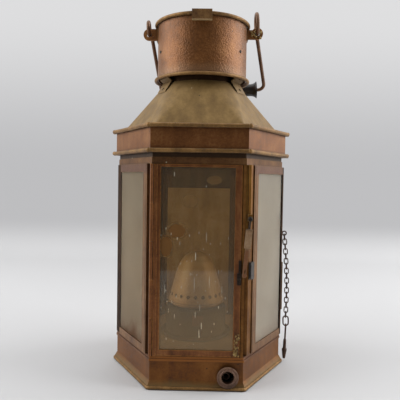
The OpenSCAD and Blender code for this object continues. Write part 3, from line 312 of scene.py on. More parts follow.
# Window frames, duller than the door, redder under the cornice where smoke caught
windowBrass = agedMetal("windowBrass", dict(
    tones=("#54341a", "#74502e", "#8c6640"), patchMm=18, grainMm=1.3, rough=(0.38, 0.56), metallic=0.5,
    pits=0.12, shadeAndGrime="#2c1a0c", edge="#98703e", edgeMm=0.9, edgeShare=0.6, specks=0.05, runShare=0.45,
    relief=0.3,
    bands=(dict(along="Z", start=236, end=242, tone="#58382a", share=0.7, wander=4),)))
# Brass in the door's recess, golden where it is sheltered and black in its corners with painted shade
recessBrass = agedMetal("recessBrass", dict(
    tones=("#4c2e0c", "#72481a", "#8e6430"), patchMm=12, grainMm=1.3, rough=(0.42, 0.62), metallic=0.7,
    shadeAndGrime="#120902", shadeAndGrimeMm=6, runShare=0.4, relief=0.3, edge="#8a6026", edgeShare=0.5))
# Yellow strip and tube beside the door, kept brighter where hands rub
jambBrass = agedMetal("jambBrass", dict(
    tones=("#6a4212", "#875a1e", "#9c7432"), patchMm=12, grainMm=1.2, rough=(0.34, 0.5), metallic=0.6,
    shadeAndGrime="#2c1a08", edge="#b08a3e", edgeShare=0.7, runShare=0.5, relief=0.2))
# Latch lever: grey neck, khaki thumb plate and a brown arm
leverBrass = agedMetal("leverBrass", dict(
    tones=("#7a5c40", "#9c7c5c", "#b4977a"), patchMm=7, grainMm=1.1, rough=(0.34, 0.52), metallic=0.5,
    shadeAndGrime="#24180e", edge="#a89070", edgeMm=0.7, edgeShare=0.8, runShare=0.4, relief=0.35,
    bands=(dict(along="Z", start=178, end=181, tone="#3c3733", share=0.9, wander=1),
           dict(along="Z", start=159, end=155, tone="#7a4a2c", share=0.85, wander=3))))
# Sheet inside, tan under lamp smoke, with rust runs; its tones are painted far lighter than the same sheet
# outside, standing in for light in the dim inside
innerSheet = agedMetal("innerSheet", dict(
    tones=("#b48848", "#d2a262", "#e4ba7c"), patchMm=26, grainMm=1.8, rough=(0.5, 0.7), metallic=0.15,
    shadeAndGrime="#4c3318", shadeAndGrimeMm=12, runShare=0.35, relief=0.3, dust=0))
# Bracket and bar behind, the same sheet a little darker
backSheet = agedMetal("backSheet", dict(
    tones=("#543c22", "#6c5030", "#806444"), patchMm=28, grainMm=1.6, rough=(0.45, 0.65), metallic=0.35,
    shadeAndGrime="#2c1f12", specks=0.05, runShare=0.45, relief=0.3, edge="#8d7448", edgeShare=0.4, dent=0.12))
# Closed panels, streaked downwards by rain and lamp smoke
rearSheet = agedMetal("rearSheet", dict(
    tones=("#5c4226", "#745634", "#866642"), patchMm=28, grainMm=1.6, rough=(0.45, 0.65), metallic=0.25,
    shadeAndGrime="#3c2a16", specks=0.05, runShare=0.45, relief=0.3, edge="#8d7448", edgeShare=0.4, dent=0.12))
# Channels that hold the panes, brass coloured nearly black
channelBrass = agedMetal("channelBrass", dict(
    tones=("#20130a", "#342213", "#4c3420"), patchMm=10, grainMm=1.2, rough=(0.62, 0.82), metallic=0.8,
    shadeAndGrime="#0e0805", dust=0, relief=0.35, edge="#6a5138", edgeShare=0.5))
# Mild steel wire of the chain and pin: brown rust over grey
rustySteel = agedMetal("rustySteel", dict(
    tones=("#352117", "#4f3728", "#674b37"), patchMm=5, grainMm=0.9, rough=(0.5, 0.75), metallic=0.35,
    shadeAndGrime="#170e09", relief=0.5))
# Spring steel clip, blue-grey with worn edges
springSteel = agedMetal("springSteel", dict(
    tones=("#34302c", "#4c4742", "#605a52"), patchMm=6, grainMm=0.9, rough=(0.36, 0.52), metallic=0.7,
    shadeAndGrime="#1a1613", relief=0.3, edge="#73777c", edgeShare=0.4))
# Drawn brass wire of the bail, browned by hands
bailBrass = agedMetal("bailBrass", dict(
    tones=("#4c3420", "#684830", "#7e5c40"), patchMm=7, grainMm=1.0, rough=(0.36, 0.55), metallic=0.4,
    shadeAndGrime="#241509", relief=0.45))
# Burner of spun copper, light tan under dust, its tones painted far lighter than copper to stand in for light
# in the dim inside
burnerCopper = agedMetal("burnerCopper", dict(
    tones=("#dca468", "#ecb87c", "#f4c88e"), patchMm=18, grainMm=1.5, rough=(0.3, 0.48), metallic=0.15,
    shadeAndGrime="#6a4622", relief=0.2, runShare=0.4, dust=0))
# Tinned font and tray, gone dull under soot and dust
dullTin = agedMetal("dullTin", dict(
    tones=("#4c3e2c", "#5e4e38", "#6c5a42"), patchMm=16, grainMm=1.5, rough=(0.5, 0.7), metallic=0.2,
    shadeAndGrime="#33271a", relief=0.2, runShare=0.3, dust=0,
    bands=(dict(along="Y", start=-38.6, end=-38.9, tone="#94643c", share=0.85, wander=0.2),)))
# Rivets: khaki on the roof's tongues, black with dirt on the crown wall
rivetBrass = agedMetal("rivetBrass", dict(
    tones=("#4c3a1e", "#63502c", "#78633a"), patchMm=6, grainMm=1.0, rough=(0.5, 0.7), metallic=0.3,
    relief=0.3, bands=(dict(along="Z", start=362, end=368, tone="#120c06", share=0.95, wander=1),)))
# Brass blackened by soot and oil; on the door's catch tab the black is painted shade
blackenedBrass = agedMetal("blackenedBrass", dict(
    tones=("#120d08", "#21170e", "#36271a"), patchMm=6, grainMm=1.0, rough=(0.4, 0.6), metallic=0.6,
    shadeAndGrime="#080504", relief=0.3))
# Turned ferrule, dark brown, its bore darkened by strong painted shade with dirt
ferruleBrass = agedMetal("ferruleBrass", dict(
    tones=("#4a3122", "#664836", "#7c6048"), patchMm=8, grainMm=1.2, rough=(0.4, 0.6), metallic=0.3,
    shadeAndGrime="#1a0f08", shadeAndGrimeMm=7, shadeAndGrimeShare=0.95, relief=0.35))
# Blistered yellow salts where the brass has corroded
brassSalts = agedMetal("brassSalts", dict(
    tones=("#4a3414", "#9a7c42", "#dccba0"), patchMm=3, grainMm=0.8, rough=(0.7, 0.9), metallic=0,
    relief=0.7))


# Turned hardwood under black paint, worn matt
def blackPaintedWood():
    s = dict(wearMm=4.3, paint="#141211", bare="#3a2b21")
    material, t = newMaterial("blackPaintedWood")
    place = addNode(t, "ShaderNodeTexCoord").outputs["Object"]
    worn = addNode(t, "ShaderNodeTexNoise", {"Vector": place, "Scale": noisePerMm / s["wearMm"], "Detail": 5,
                                             "Roughness": 0.65})
    colour = addNode(t, "ShaderNodeValToRGB", {"Fac": worn.outputs["Fac"]})
    colour.color_ramp.elements[0].position, colour.color_ramp.elements[0].color = 0.45, linear(s["paint"])
    colour.color_ramp.elements[1].position, colour.color_ramp.elements[1].color = 0.78, linear(s["bare"])
    rough = addNode(t, "ShaderNodeMapRange", {"Value": worn.outputs["Fac"], "To Min": 0.3, "To Max": 0.55})
    relief = addNode(t, "ShaderNodeBump", {"Strength": 0.25, "Distance": 0.2 * mm,
                                           "Height": worn.outputs["Fac"]})
    shader = addNode(t, "ShaderNodeBsdfPrincipled",
                     {"Base Color": colour.outputs[0], "Roughness": rough.outputs[0],
                      "Normal": relief.outputs[0]})
    addNode(t, "ShaderNodeOutputMaterial", {"Surface": shader.outputs[0]})
    return material


# Woven cotton tape, off-white, singed at the tip, its twill coarser than real so that it shows
def cottonWick():
    s = dict(twillMm=1.82, yarn="#cfc6ae", shade="#a89c80", char="#1a1512", charFrom=118, charTo=127)
    material, t = newMaterial("cottonWick")
    place = addNode(t, "ShaderNodeTexCoord").outputs["Object"]
    weave = addNode(t, "ShaderNodeTexWave", {"Vector": place, "Scale": bandsPerMm / s["twillMm"],
                                             "Distortion": 0.6}, bands_direction="DIAGONAL")
    split = addNode(t, "ShaderNodeSeparateXYZ", {"Vector": place})
    tip = addNode(t, "ShaderNodeMapRange", {"Value": split.outputs["Z"], "From Min": s["charFrom"] * mm,
                                            "From Max": s["charTo"] * mm})
    yarn = addNode(t, "ShaderNodeMix", {"Factor": weave.outputs["Fac"], "A": linear(s["shade"]),
                                        "B": linear(s["yarn"])}, data_type="RGBA")
    colour = addNode(t, "ShaderNodeMix", {"Factor": tip.outputs[0], "A": yarn.outputs["Result"],
                                          "B": linear(s["char"])}, data_type="RGBA")
    relief = addNode(t, "ShaderNodeBump", {"Strength": 0.5, "Distance": 0.3 * mm,
                                           "Height": weave.outputs["Fac"]})
    shader = addNode(t, "ShaderNodeBsdfPrincipled",
                     {"Base Color": colour.outputs["Result"], "Roughness": 0.9, "Normal": relief.outputs[0]})
    addNode(t, "ShaderNodeOutputMaterial", {"Surface": shader.outputs[0]})
    return material


# Splashed whitewash: matt, off-white
def whitewash():
    material, t = newMaterial("whitewash")
    shader = addNode(t, "ShaderNodeBsdfPrincipled", {"Base Color": linear("#c4bda8"), "Roughness": 0.85})
    addNode(t, "ShaderNodeOutputMaterial", {"Surface": shader.outputs[0]})
    return material


# Clear window glass, thin: it mirrors by its angle, lets the rest through, and carries a film
# of dust that thickens downwards and soft blots of rust
def dustyGlass(s):
    cloudMm = 23.1
    material, t = newMaterial(s["name"])
    place = addNode(t, "ShaderNodeTexCoord").outputs["Object"]
    cloud = addNode(t, "ShaderNodeTexNoise", {"Vector": place, "Scale": noisePerMm / cloudMm, "Detail": 7,
                                              "Roughness": 0.65})
    split = addNode(t, "ShaderNodeSeparateXYZ", {"Vector": place})
    film = addNode(t, "ShaderNodeMapRange", {"Value": cloud.outputs["Fac"], "From Min": 0.3, "From Max": 0.7,
                                             "To Min": s["film"][0], "To Max": s["film"][1]})
    low = addNode(t, "ShaderNodeMapRange", {"Value": split.outputs["Z"], "From Min": 130 * mm,
                                            "From Max": 60 * mm, "To Max": s["low"]},
                  interpolation_type="SMOOTHSTEP")
    cover = addNode(t, "ShaderNodeMath", {0: film.outputs[0], 1: low.outputs[0]}, operation="ADD").outputs[0]
    colour = linear(s["dust"])
    for x, z, wide, tall, share in s["blots"]:
        spot = addNode(t, "ShaderNodeMapping", {"Vector": place, "Location": (-x / wide, 0, -z / tall),
                                                "Scale": (1 / wide / mm, 0, 1 / tall / mm)})
        far = addNode(t, "ShaderNodeVectorMath", {0: spot.outputs[0]}, operation="LENGTH")
        ragged = addNode(t, "ShaderNodeMath", {0: cloud.outputs["Fac"], 1: 1.6, 2: far.outputs["Value"]},
                         operation="MULTIPLY_ADD")
        inside = addNode(t, "ShaderNodeMapRange", {"Value": ragged.outputs[0], "From Min": 2.0,
                                                   "From Max": 1.5, "To Max": share},
                         interpolation_type="SMOOTHSTEP")
        colour = addNode(t, "ShaderNodeMix", {"Factor": inside.outputs[0], "A": colour,
                                              "B": linear(s["rust"])}, data_type="RGBA").outputs["Result"]
        cover = addNode(t, "ShaderNodeMath", {0: cover, 1: inside.outputs[0]}, operation="MAXIMUM").outputs[0]
    clear = addNode(t, "ShaderNodeBsdfTransparent", {"Color": linear(s["tint"])})
    mirror = addNode(t, "ShaderNodeBsdfGlossy", {"Color": (1, 1, 1, 1), "Roughness": 0.03})
    angle = addNode(t, "ShaderNodeFresnel", {"IOR": 1.5})
    pane = addNode(t, "ShaderNodeMixShader", {0: angle.outputs[0], 1: clear.outputs[0], 2: mirror.outputs[0]})
    dust = addNode(t, "ShaderNodeBsdfDiffuse", {"Color": colour})
    surface = addNode(t, "ShaderNodeMixShader", {0: cover, 1: pane.outputs[0], 2: dust.outputs[0]})
    addNode(t, "ShaderNodeOutputMaterial", {"Surface": surface.outputs[0]})
    return material


# Ground glass, sand-blasted inside: light comes through scattered, with rust at its lower edge
def frostedGlass(s):
    cloudMm, spotMm, gritMm = 33.3, 10, 2 / 3  # the grit is coarser than real so that it shows
    material, t = newMaterial(s["name"])
    place = addNode(t, "ShaderNodeTexCoord").outputs["Object"]
    cloud = addNode(t, "ShaderNodeTexNoise", {"Vector": place, "Scale": noisePerMm / cloudMm, "Detail": 6,
                                              "Roughness": 0.6})
    grit = addNode(t, "ShaderNodeTexNoise", {"Vector": place, "Scale": noisePerMm / gritMm, "Detail": 2})
    colour = addNode(t, "ShaderNodeValToRGB", {"Fac": cloud.outputs["Fac"]})
    colour.color_ramp.elements[0].position, colour.color_ramp.elements[0].color = 0.35, linear(s["dark"])
    colour.color_ramp.elements[1].position, colour.color_ramp.elements[1].color = 0.65, linear(s["pale"])
    split = addNode(t, "ShaderNodeSeparateXYZ", {"Vector": place})
    low = addNode(t, "ShaderNodeMath", {0: cloud.outputs["Fac"], 1: 60 * mm, 2: split.outputs["Z"]},
                  operation="MULTIPLY_ADD")
    stain = addNode(t, "ShaderNodeMapRange", {"Value": low.outputs[0], "From Min": 95 * mm,
                                              "From Max": 72 * mm, "To Max": s["stain"]},
                    interpolation_type="SMOOTHSTEP")
    tinted = addNode(t, "ShaderNodeMix", {"Factor": stain.outputs[0], "A": colour.outputs[0],
                                          "B": linear("#86603c")}, data_type="RGBA")
    cells = addNode(t, "ShaderNodeTexVoronoi", {"Vector": place, "Scale": cellsPerMm / spotMm})
    chosen = addNode(t, "ShaderNodeMapRange", {"Value": cells.outputs["Color"], "From Min": 0.7,
                                               "From Max": 0.72})
    dot = addNode(t, "ShaderNodeMapRange", {"Value": cells.outputs["Distance"], "From Min": 0.09,
                                            "From Max": 0.05})
    drop = addNode(t, "ShaderNodeMath", {0: chosen.outputs[0], 1: dot.outputs[0]}, operation="MULTIPLY")
    dotted = addNode(t, "ShaderNodeMix", {"Factor": drop.outputs[0], "A": tinted.outputs["Result"],
                                          "B": linear("#dcd6c6")}, data_type="RGBA")
    relief = addNode(t, "ShaderNodeBump", {"Strength": 0.1, "Distance": 0.1 * mm,
                                           "Height": grit.outputs["Fac"]})
    shader = addNode(t, "ShaderNodeBsdfPrincipled",
                     {"Base Color": dotted.outputs["Result"], "Roughness": 0.38, "Normal": relief.outputs[0]})
    lit = addNode(t, "ShaderNodeMix", {"Factor": stain.outputs[0], "A": linear("#f6f1e6"),
                                       "B": linear("#b07a48")}, data_type="RGBA")
    through = addNode(t, "ShaderNodeBsdfTranslucent", {"Color": lit.outputs["Result"]})
    surface = addNode(t, "ShaderNodeMixShader", {0: s["through"], 1: shader.outputs[0],
                                                 2: through.outputs[0]})
    addNode(t, "ShaderNodeOutputMaterial", {"Surface": surface.outputs[0]})
    return material


# Each blot: x, z, half its width and height, and how far it covers
doorPane = dustyGlass(dict(
    name="dustyGlass", tint="#f1f1ea", dust="#a4875e", film=(0.06, 0.15), low=0.27, rust="#6c4016",
    blots=((-9, 210, 9, 7.5, 0.45), (-23, 176, 13, 10, 0.75), (-35, 158, 9, 14, 0.75),
           (17, 233, 9, 5, 0.45))))
leftPane = frostedGlass(dict(name="frostedGlass", dark="#9c8e7b", pale="#bcb09c", through=0.8, stain=0.7))
rightPane = frostedGlass(dict(name="paleFrostedGlass", dark="#bfb9ae", pale="#dcd7cc", through=0.72,
                              stain=0.2))
paint(crownCopper, "crown_wall")
paint(lidBrass, "crown_lid")
paint(smokedCopper, "chimney_collar")
paint(roofBrass, "roof_cowl", "crown_legs")
paint(wireBrass, "crown_beads", "lower_band_bead", "upper_band_bead", "foot_wire", "lid_hinge")
paint(earBrass, "left_ear", "right_ear")
paint(rivetBrass, "crown_rivets")
paint(bandBrass, "band")
paint(corniceBrass, "cornice")
paint(plinthBrass, "plinth_wall", "base_plate")
paint(sillBrass, "sill_moulding")
paint(frameBrass, "door_frame", "door_hinge_leaf", "body_hinge_knuckles", "door_hinge_pin")
paint(windowBrass, "left_window_frame", "right_window_frame", "corner_posts", "hinge_post")
paint(recessBrass, "door_surround", "latch_post")
paint(jambBrass, "jamb_strip", "latch_guide")
paint(leverBrass, "latch_lever")
paint(innerSheet, "back_liner", "floor_pan")
paint(rearSheet, "rear_left_panel", "rear_right_panel", "back_panel")
paint(backSheet, "wall_bracket", "lashing_bar")
paint(channelBrass, "left_window_channel", "right_window_channel", "door_glass_strips")
paint(rustySteel, "chain_links", "lock_pin", "chain_eye")
paint(springSteel, "latch_keeper")
paint(bailBrass, "bail")
paint(burnerCopper, "burner_bell", "burner_gallery")
paint(dullTin, "burner_font", "drip_tray", "wick_spindle")
# the catch tab beside the door's edge is painted black as shade
paint(blackenedBrass, "door_catch_tab", "latch_pivot")
paint(ferruleBrass, "vent_ferrule")
paint(blackPaintedWood(), "bail_grip")
paint(cottonWick(), "wick")
paint(doorPane, "door_glass")
paint(leftPane, "left_window_glass")
paint(rightPane, "right_window_glass")
print("materials made")


# Wired edges: a hexagon with rounded corners, wavering a little, and on the band beads a solder nib at each
# corner
def addBeads():
    beads = (
        dict(name="upperBead", node="upper_band_bead", corner=109.887, wire=2.4, height=291.7, nib=2.7),
        dict(name="lowerBead", node="lower_band_bead", corner=109.887, wire=2.4, height=264.5, nib=2.6),
        dict(name="footBead", node="foot_wire", corner=107.4, wire=2.1, height=2.1, nib=0),
    )
    bend = 2.2  # length of wire taken up by a corner, each way
    sway, swayEvery, rise, riseEvery = 0.16, 130, 0.18, 150
    nibAtSide, nibAtFront = 109.6, 110.4  # how far out the nibs sit
    for s in beads:
        turn = radians(60) * np.arange(6)
        corner = s["corner"] * np.stack([np.cos(turn), np.sin(turn)], -1)
        path = []
        for k in range(6):
            before, here, after = corner[k - 1], corner[k], corner[(k + 1) % 6]
            inn = (here - before) / np.linalg.norm(here - before)
            out = (after - here) / np.linalg.norm(after - here)
            u = np.linspace(0, 1, 5)[:, None]
            a, b = here - inn * bend, here + out * bend
            path.append((1 - u) ** 2 * a + 2 * u * (1 - u) * here + u ** 2 * b)
            u = np.linspace(0, 1, 18)[1:-1, None]
            path.append(b + u * (after - out * bend - b))
        path = np.concatenate(path)
        along = np.cumsum(np.linalg.norm(np.diff(path, axis=0, prepend=path[:1]), axis=1))
        free = np.sin(pi * (along % s["corner"]) / s["corner"]) ** 0.5  # held at the corners, free between
        path = path * (1 + (waver(along, sway, swayEvery) - 0.1)[:, None] * free[:, None] / s["corner"])
        lift = waver(along, rise, riseEvery) * free if s["nib"] else 0 * along
        path = np.column_stack([path, s["height"] + lift])
        grids = [sweep(path, (0, 0, 1), s["wire"] * (1 - 0.03 * np.abs(np.sin(along / 9))), 16, closed=True)]
        if s["nib"]:
            for k in range(6):
                reach = nibAtSide if k in (0, 3) else nibAtFront
                place = (reach * cos(turn[k]), reach * sin(turn[k]), s["height"])
                grids.append(lump(place, (s["nib"],) * 3, 0.12))
        addPiece(s["name"], grids, wireBrass, "lantern_body", replaces=(s["node"],))


# Bail drawn in its own plane, x along its axis and y away from it, then laid back by its hang and tilt
def addBail():
    s = dict(left=67.1, right=68.6, leftUp=422.15, rightUp=429.25, leftEye=7.75, rightEye=12.05,
             wire=2.35, bend=8, reach=98, rightEnd=83.4, leftEnd=-60.5, leftArm=2.2, hang=-45.2,
             height=425.6608)
    tilt = atan((s["rightUp"] - s["leftUp"]) / (s["right"] + s["left"]))
    h, k = radians(s["hang"]), -tilt
    aslant = np.array([[cos(k), 0, sin(k)], [0, 1, 0], [-sin(k), 0, cos(k)]])
    back = np.array([[1, 0, 0], [0, cos(h), -sin(h)], [0, sin(h), cos(h)]])

    def placed(grid):
        return grid[0] @ (aslant @ back).T + (0, 0, s["height"]), grid[1], grid[2]

    def rounded(p, q, after):  # the wire from p round the bend at q, heading for after
        u, v = (p - q) / np.linalg.norm(p - q), (after - q) / np.linalg.norm(after - q)
        half = np.arccos(np.dot(u, v)) / 2
        t = s["bend"] / tan(half)
        c = q + (u + v) / np.linalg.norm(u + v) * s["bend"] / sin(half)
        a, b = q + u * t - c, q + v * t - c
        w = np.linspace(0, 1, 9)[:, None]
        whole = np.arccos(np.dot(a, b) / s["bend"] ** 2)
        arc = c + (np.sin((1 - w) * whole) * a + np.sin(w * whole) * b) / sin(whole)
        line = p + np.linspace(0, 1, 16)[:-1, None] * (q + u * t - p)
        return np.concatenate([line, arc])

    rightX = s["right"] / cos(tilt) - s["rightEye"] * tan(tilt)
    leftX = s["left"] / cos(tilt) + s["leftEye"] * tan(tilt)
    bar = np.array([0, s["reach"]])
    right = rounded(np.array([rightX, s["rightEye"]]), np.array([s["rightEnd"], s["reach"]]), bar)
    left = rounded(np.array([-leftX + s["leftArm"], s["leftEye"]]), np.array([s["leftEnd"], s["reach"]]), bar)
    path = np.concatenate([right, left[::-1]])
    path = np.column_stack([path, 0 * path[:, 0]])
    grids = [placed(sweep(path, (0, 0, 1), s["wire"], 16))]
    for x, r in ((rightX, s["rightEye"]), (-leftX, s["leftEye"])):
        a = np.linspace(0, 2 * pi, 48, endpoint=False)
        ring = np.stack([x + 0 * a, r * np.cos(a), r * np.sin(a)], -1)
        grids.append(placed(sweep(ring, (1, 0, 0), s["wire"], 16, closed=True)))
    addPiece("bailWire", grids, bailBrass, "bail", replaces=("bail",))


# Chain of oval links, each turned a quarter from the last, bowing out, with a larger shackle below
def addChain():
    s = dict(x=109.0, y=5, z=166, top=165.2, lean=2.2, bow=2.2, count=17, pitch=6.3, half=3.975,
             wide=2.4, wire=0.7, gap=1.95, shackle=dict(half=6.2, wide=3.4, wire=0.9))
    lean = radians(-s["lean"])
    tip = np.array([[cos(lean), 0, sin(lean)], [0, 1, 0], [-sin(lean), 0, cos(lean)]])

    def link(half, wide, wire, centre, turned, quarter):
        a = np.concatenate([np.linspace(0, pi, 9), np.linspace(pi, 2 * pi, 9)])
        side = np.repeat([1, -1], 9) * (half - wide)
        loop = np.stack([wide * np.cos(a), 0 * a, wide * np.sin(a) + side], -1)
        grid, closed, wrap = sweep(loop, (0, -1, 0), wire, 10, closed=True)
        if quarter:
            grid = grid @ np.array([[0, 1, 0], [-1, 0, 0], [0, 0, 1]])
        c = np.array([[cos(turned), 0, sin(turned)], [0, 1, 0], [-sin(turned), 0, cos(turned)]])
        return (grid @ c.T + centre) @ tip.T + (s["x"], s["y"], s["z"]), closed, wrap

    grids = []
    for k in range(s["count"]):
        at = pi * (k + 0.5) / s["count"]
        swing = -atan(s["bow"] * pi / (s["count"] * s["pitch"]) * cos(at))
        centre = (s["bow"] * sin(at), 0, s["top"] - s["half"] - k * s["pitch"] - s["z"])
        grids.append(link(s["half"], s["wide"], s["wire"], centre, swing, k % 2 == 0))
    lastLink = s["top"] - 2 * s["half"] - (s["count"] - 1) * s["pitch"]
    low = lastLink + s["gap"] - s["shackle"]["half"] - s["z"]
    grids.append(link(*s["shackle"].values(), (0, 0, low), 0, s["count"] % 2 == 0))
    addPiece("chain", grids, rustySteel, "chain", replaces=("chain_links",))


# Splashes dried on the door glass, flat drops drawn out downwards: x, z, length and width
def addDrips():
    runs = [(-23, 168, 3, 0.4), (-20, 163, 4, 0.3), (9, 170, 11, 0.32), (-2.5, 149, 8, 0.55),
            (-3.5, 118, 17, 0.3), (13, 121, 12, 0.3), (-36, 112, 9, 0.3), (27, 112, 8, 0.3),
            (3, 92, 7, 0.32), (5, 72, 7, 0.6), (2.5, 63, 9, 0.5), (-25, 82, 5, 0.32),
            (-2, 84, 7, 0.36), (23, 132, 4, 0.3), (-8, 129, 3, 0.3), (-28, 98, 3, 0.3),
            (-27, 239, 4, 0.5), (8, 226, 2, 0.4)]
    dots = dict(count=40, x=(-42, 34), low=50, rise=130, length=(0.5, 2.6), width=(0.25, 0.45))
    face = nodes["door_glass"]
    front = min((face.matrix_world @ Vector(c)).y for c in face.bound_box) / mm
    n = dots["count"]
    runs += list(zip(chance.uniform(*dots["x"], n), dots["low"] + dots["rise"] * chance.random(n),
                     chance.uniform(*dots["length"], n), chance.uniform(*dots["width"], n)))
    grids = []
    for x, z, length, width in runs:  # a thin run with a bead at its lower end
        grids.append(lump((x, front, z), (width * 0.75, 0.1, length / 2), 0.15, rows=9, sides=8))
        grids.append(lump((x, front, z - length / 2), (width * 0.8, 0.14, width * 1.3), 0.1, rows=5, sides=8))
    addPiece("glassDrips", grids, whitewash(), "door")


# A ring of soot round each air hole of the bell, lying on its skirt
def addSoot():
    s = dict(count=22, height=9, radius=32.73, inner=1.35, outer=1.95, proud=0.14, edge=0.06, sunk=-0.3)
    outward, upward = 0.966, 0.2585  # the skirt's normal
    bell = nodes["burner_bell"]
    corners = np.array([bell.matrix_world @ Vector(c) for c in bell.bound_box]) / mm
    middle, base = corners[:, 0].mean(), corners[:, 2].min()
    profile = ((s["inner"], s["sunk"]), (s["inner"], s["proud"]), (s["outer"], s["edge"]),
               (s["outer"], s["sunk"]), (s["inner"], s["sunk"]))
    a = np.linspace(0, 2 * pi, 20, endpoint=False)
    grids = []
    for k in range(s["count"]):
        turn = 2 * pi * (k + 0.5) / s["count"]
        out = np.array([cos(turn) * outward, sin(turn) * outward, upward])
        side = np.array([-sin(turn), cos(turn), 0])
        up = np.array([-cos(turn) * upward, -sin(turn) * upward, outward])
        centre = np.array([middle + s["radius"] * cos(turn), s["radius"] * sin(turn), base + s["height"]])
        rows = [centre + out * lift + side * (r * np.cos(a))[:, None] + up * (r * np.sin(a))[:, None]
                for r, lift in profile]
        grids.append((np.array(rows), False, True))
    addPiece("bellSoot", grids, blackenedBrass, "bell")


# The stub inside the ferrule, and blisters of brass salts on the right ear and the door's foot
def addBlisters():
    stub = dict(x=33.6, z=14.6, front=-87.2, length=6, outer=4.1, inner=2.7, flare=0.4, lip=0.6)
    ear = dict(count=26, x=(61, 73), z=(411.5, 421), y=(-1.2, 1.2), size=(0.7, 1.7))
    foot = dict(count=30, x=(41.2, 46.6), y=-90.9, low=39, rise=24, size=(0.5, 1.3))
    inner, outer, back = stub["inner"], stub["outer"], -stub["length"]
    profile = ((inner, back), (outer, back), (outer, 0), (inner + stub["flare"], 0),
               (inner, -stub["lip"]), (inner, back))
    a = np.linspace(0, 2 * pi, 32, endpoint=False)
    tube = np.array([[(stub["x"] + r * cos(b), stub["front"] - y, stub["z"] + r * sin(b)) for b in a]
                     for r, y in profile])
    addPiece("ferruleStub", [(tube, False, True)], rustySteel, "lantern_body")
    n = ear["count"]
    spots = []
    for x, z in zip(chance.uniform(*ear["x"], n), chance.uniform(*ear["z"], n)):
        y, r = chance.choice(ear["y"]), chance.uniform(*ear["size"])
        spots.append(lump((x, y, z), (1.2 * r, 0.8 * r, r), 0.3))
    addPiece("earBlisters", spots, brassSalts, "lantern_body")
    n = foot["count"]
    spots = [lump((x, foot["y"], z), (r, 0.6 * r, 1.3 * r), 0.3) for x, z, r in
             zip(chance.uniform(*foot["x"], n), foot["low"] + foot["rise"] * chance.random(n) ** 1.5,
                 chance.uniform(*foot["size"], n))]
    addPiece("doorBlisters", spots, brassSalts, "door")


addBeads()
print("beads made")
addBail()
addChain()
print("bail and chain made")
addDrips()
addSoot()
addBlisters()
print("splashes and blisters made")


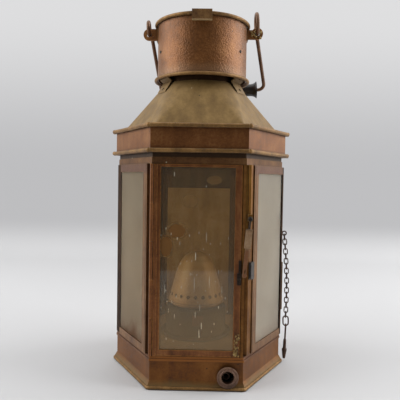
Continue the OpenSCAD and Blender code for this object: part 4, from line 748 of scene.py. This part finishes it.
# A swept sheet of paper: flat, rising in an arc behind. Where it rises it shows camera, mirror and
# glass rays a glowing pale tone, so that it is as pale as paper without more light; the tone grows
# paler upwards, a painted fall of light from above
def addFloor():
    f = dict(width=6, front=-0.8, back=0.75, arc=0.4, rise=3, low="#c6c6c7", high="#bababc", top="#dededf",
             toneFrom=0.25, toneTo=0.85, plainFrom=0.0, plainTo=0.1, plainShare=0.9)
    a = np.linspace(0, pi / 2, 24)
    y = np.concatenate([[f["front"]], f["back"] + f["arc"] * np.sin(a), [f["back"] + f["arc"]]])
    z = np.concatenate([[0], f["arc"] * (1 - np.cos(a)), [f["rise"]]])
    x = np.array([-f["width"] / 2, f["width"] / 2])
    grid = np.stack([np.broadcast_to(x[:, None], (2, len(y))), np.broadcast_to(y, (2, len(y))),
                     np.broadcast_to(z, (2, len(y)))], -1)
    material, t = newMaterial("paperSweep")
    place = addNode(t, "ShaderNodeTexCoord").outputs["Object"]
    split = addNode(t, "ShaderNodeSeparateXYZ", {"Vector": place})
    upper = addNode(t, "ShaderNodeMapRange", {"Value": split.outputs["Z"], "From Min": f["toneFrom"],
                                              "From Max": f["toneTo"]}, interpolation_type="SMOOTHSTEP")
    # painted light: the glow's tone grows paler towards the top of the sweep
    tone = addNode(t, "ShaderNodeMix", {"Factor": upper.outputs[0], "A": linear(f["high"]),
                                        "B": linear(f["top"])}, data_type="RGBA")
    risen = addNode(t, "ShaderNodeMapRange", {"Value": split.outputs["Z"], "From Min": f["plainFrom"],
                                              "From Max": f["plainTo"], "To Max": f["plainShare"]},
                    interpolation_type="SMOOTHSTEP")
    ray = addNode(t, "ShaderNodeLightPath")
    seen = addNode(t, "ShaderNodeMath", {0: ray.outputs["Is Camera Ray"], 1: ray.outputs["Is Glossy Ray"]},
                   operation="MAXIMUM")
    shown = addNode(t, "ShaderNodeMath", {0: seen.outputs[0], 1: ray.outputs["Is Transmission Ray"]},
                    operation="MAXIMUM")
    share = addNode(t, "ShaderNodeMath", {0: shown.outputs[0], 1: risen.outputs[0]}, operation="MULTIPLY")
    paper = addNode(t, "ShaderNodeBsdfPrincipled", {"Base Color": linear(f["low"]), "Roughness": 0.6})
    plain = addNode(t, "ShaderNodeEmission", {"Color": tone.outputs["Result"]})
    shader = addNode(t, "ShaderNodeMixShader", {0: share.outputs[0], 1: paper.outputs[0],
                                                2: plain.outputs[0]})
    addNode(t, "ShaderNodeOutputMaterial", {"Surface": shader.outputs[0]})
    mesh = bpy.data.meshes.new("floor")
    n = len(y)
    j = np.arange(n - 1)
    mesh.from_pydata(grid.reshape(-1, 3).tolist(), [], np.stack([j, j + n, j + n + 1, j + 1], -1).tolist())
    mesh.polygons.foreach_set("use_smooth", np.full(n - 1, True))
    mesh.materials.append(material)
    floor = bpy.data.objects.new("floor", mesh)
    bpy.context.scene.collection.objects.link(floor)


# Three softboxes in a dim room. Behind the paper's edges the camera sees a plain pale tone too
def addLamps():
    lamps = (
        dict(name="leftSoftbox", place=(-1.3, -0.2, 0.85), aim=(0, 0, 0.25), size=(1.4, 1.2), watts=22),
        dict(name="rightSoftbox", place=(1.3, 0.05, 0.85), aim=(0, 0, 0.25), size=(1.4, 1.2), watts=24),
        dict(name="topSoftbox", place=(0, 0.1, 1.9), aim=(0, 0.1, 0.2), size=(1.8, 1.8), watts=16),
    )
    room = dict(fill=0.15, paper="#d2d2d4")
    for s in lamps:
        data = bpy.data.lights.new(s["name"], "AREA")
        data.shape, data.size, data.size_y, data.energy = "RECTANGLE", s["size"][0], s["size"][1], s["watts"]
        lamp = bpy.data.objects.new(s["name"], data)
        lamp.location = s["place"]
        lamp.rotation_euler = (Vector(s["aim"]) - Vector(s["place"])).to_track_quat("-Z", "Y").to_euler()
        bpy.context.scene.collection.objects.link(lamp)
    world = bpy.data.worlds.new("studio")
    world.use_nodes = True
    world.node_tree.nodes.clear()
    t = world.node_tree
    fill = addNode(t, "ShaderNodeBackground", {"Color": (1, 1, 1, 1), "Strength": room["fill"]})
    paper = addNode(t, "ShaderNodeBackground", {"Color": linear(room["paper"]), "Strength": 1.0})
    ray = addNode(t, "ShaderNodeLightPath")
    seen = addNode(t, "ShaderNodeMath", {0: ray.outputs["Is Camera Ray"],
                                         1: ray.outputs["Is Transmission Ray"]}, operation="MAXIMUM")
    sky = addNode(t, "ShaderNodeMixShader", {0: seen.outputs[0], 1: fill.outputs[0], 2: paper.outputs[0]})
    addNode(t, "ShaderNodeOutputWorld", {"Surface": sky.outputs[0]})
    bpy.context.scene.world = world
    bpy.context.scene.view_settings.view_transform = "Standard"


addFloor()
addLamps()
print("stage set")
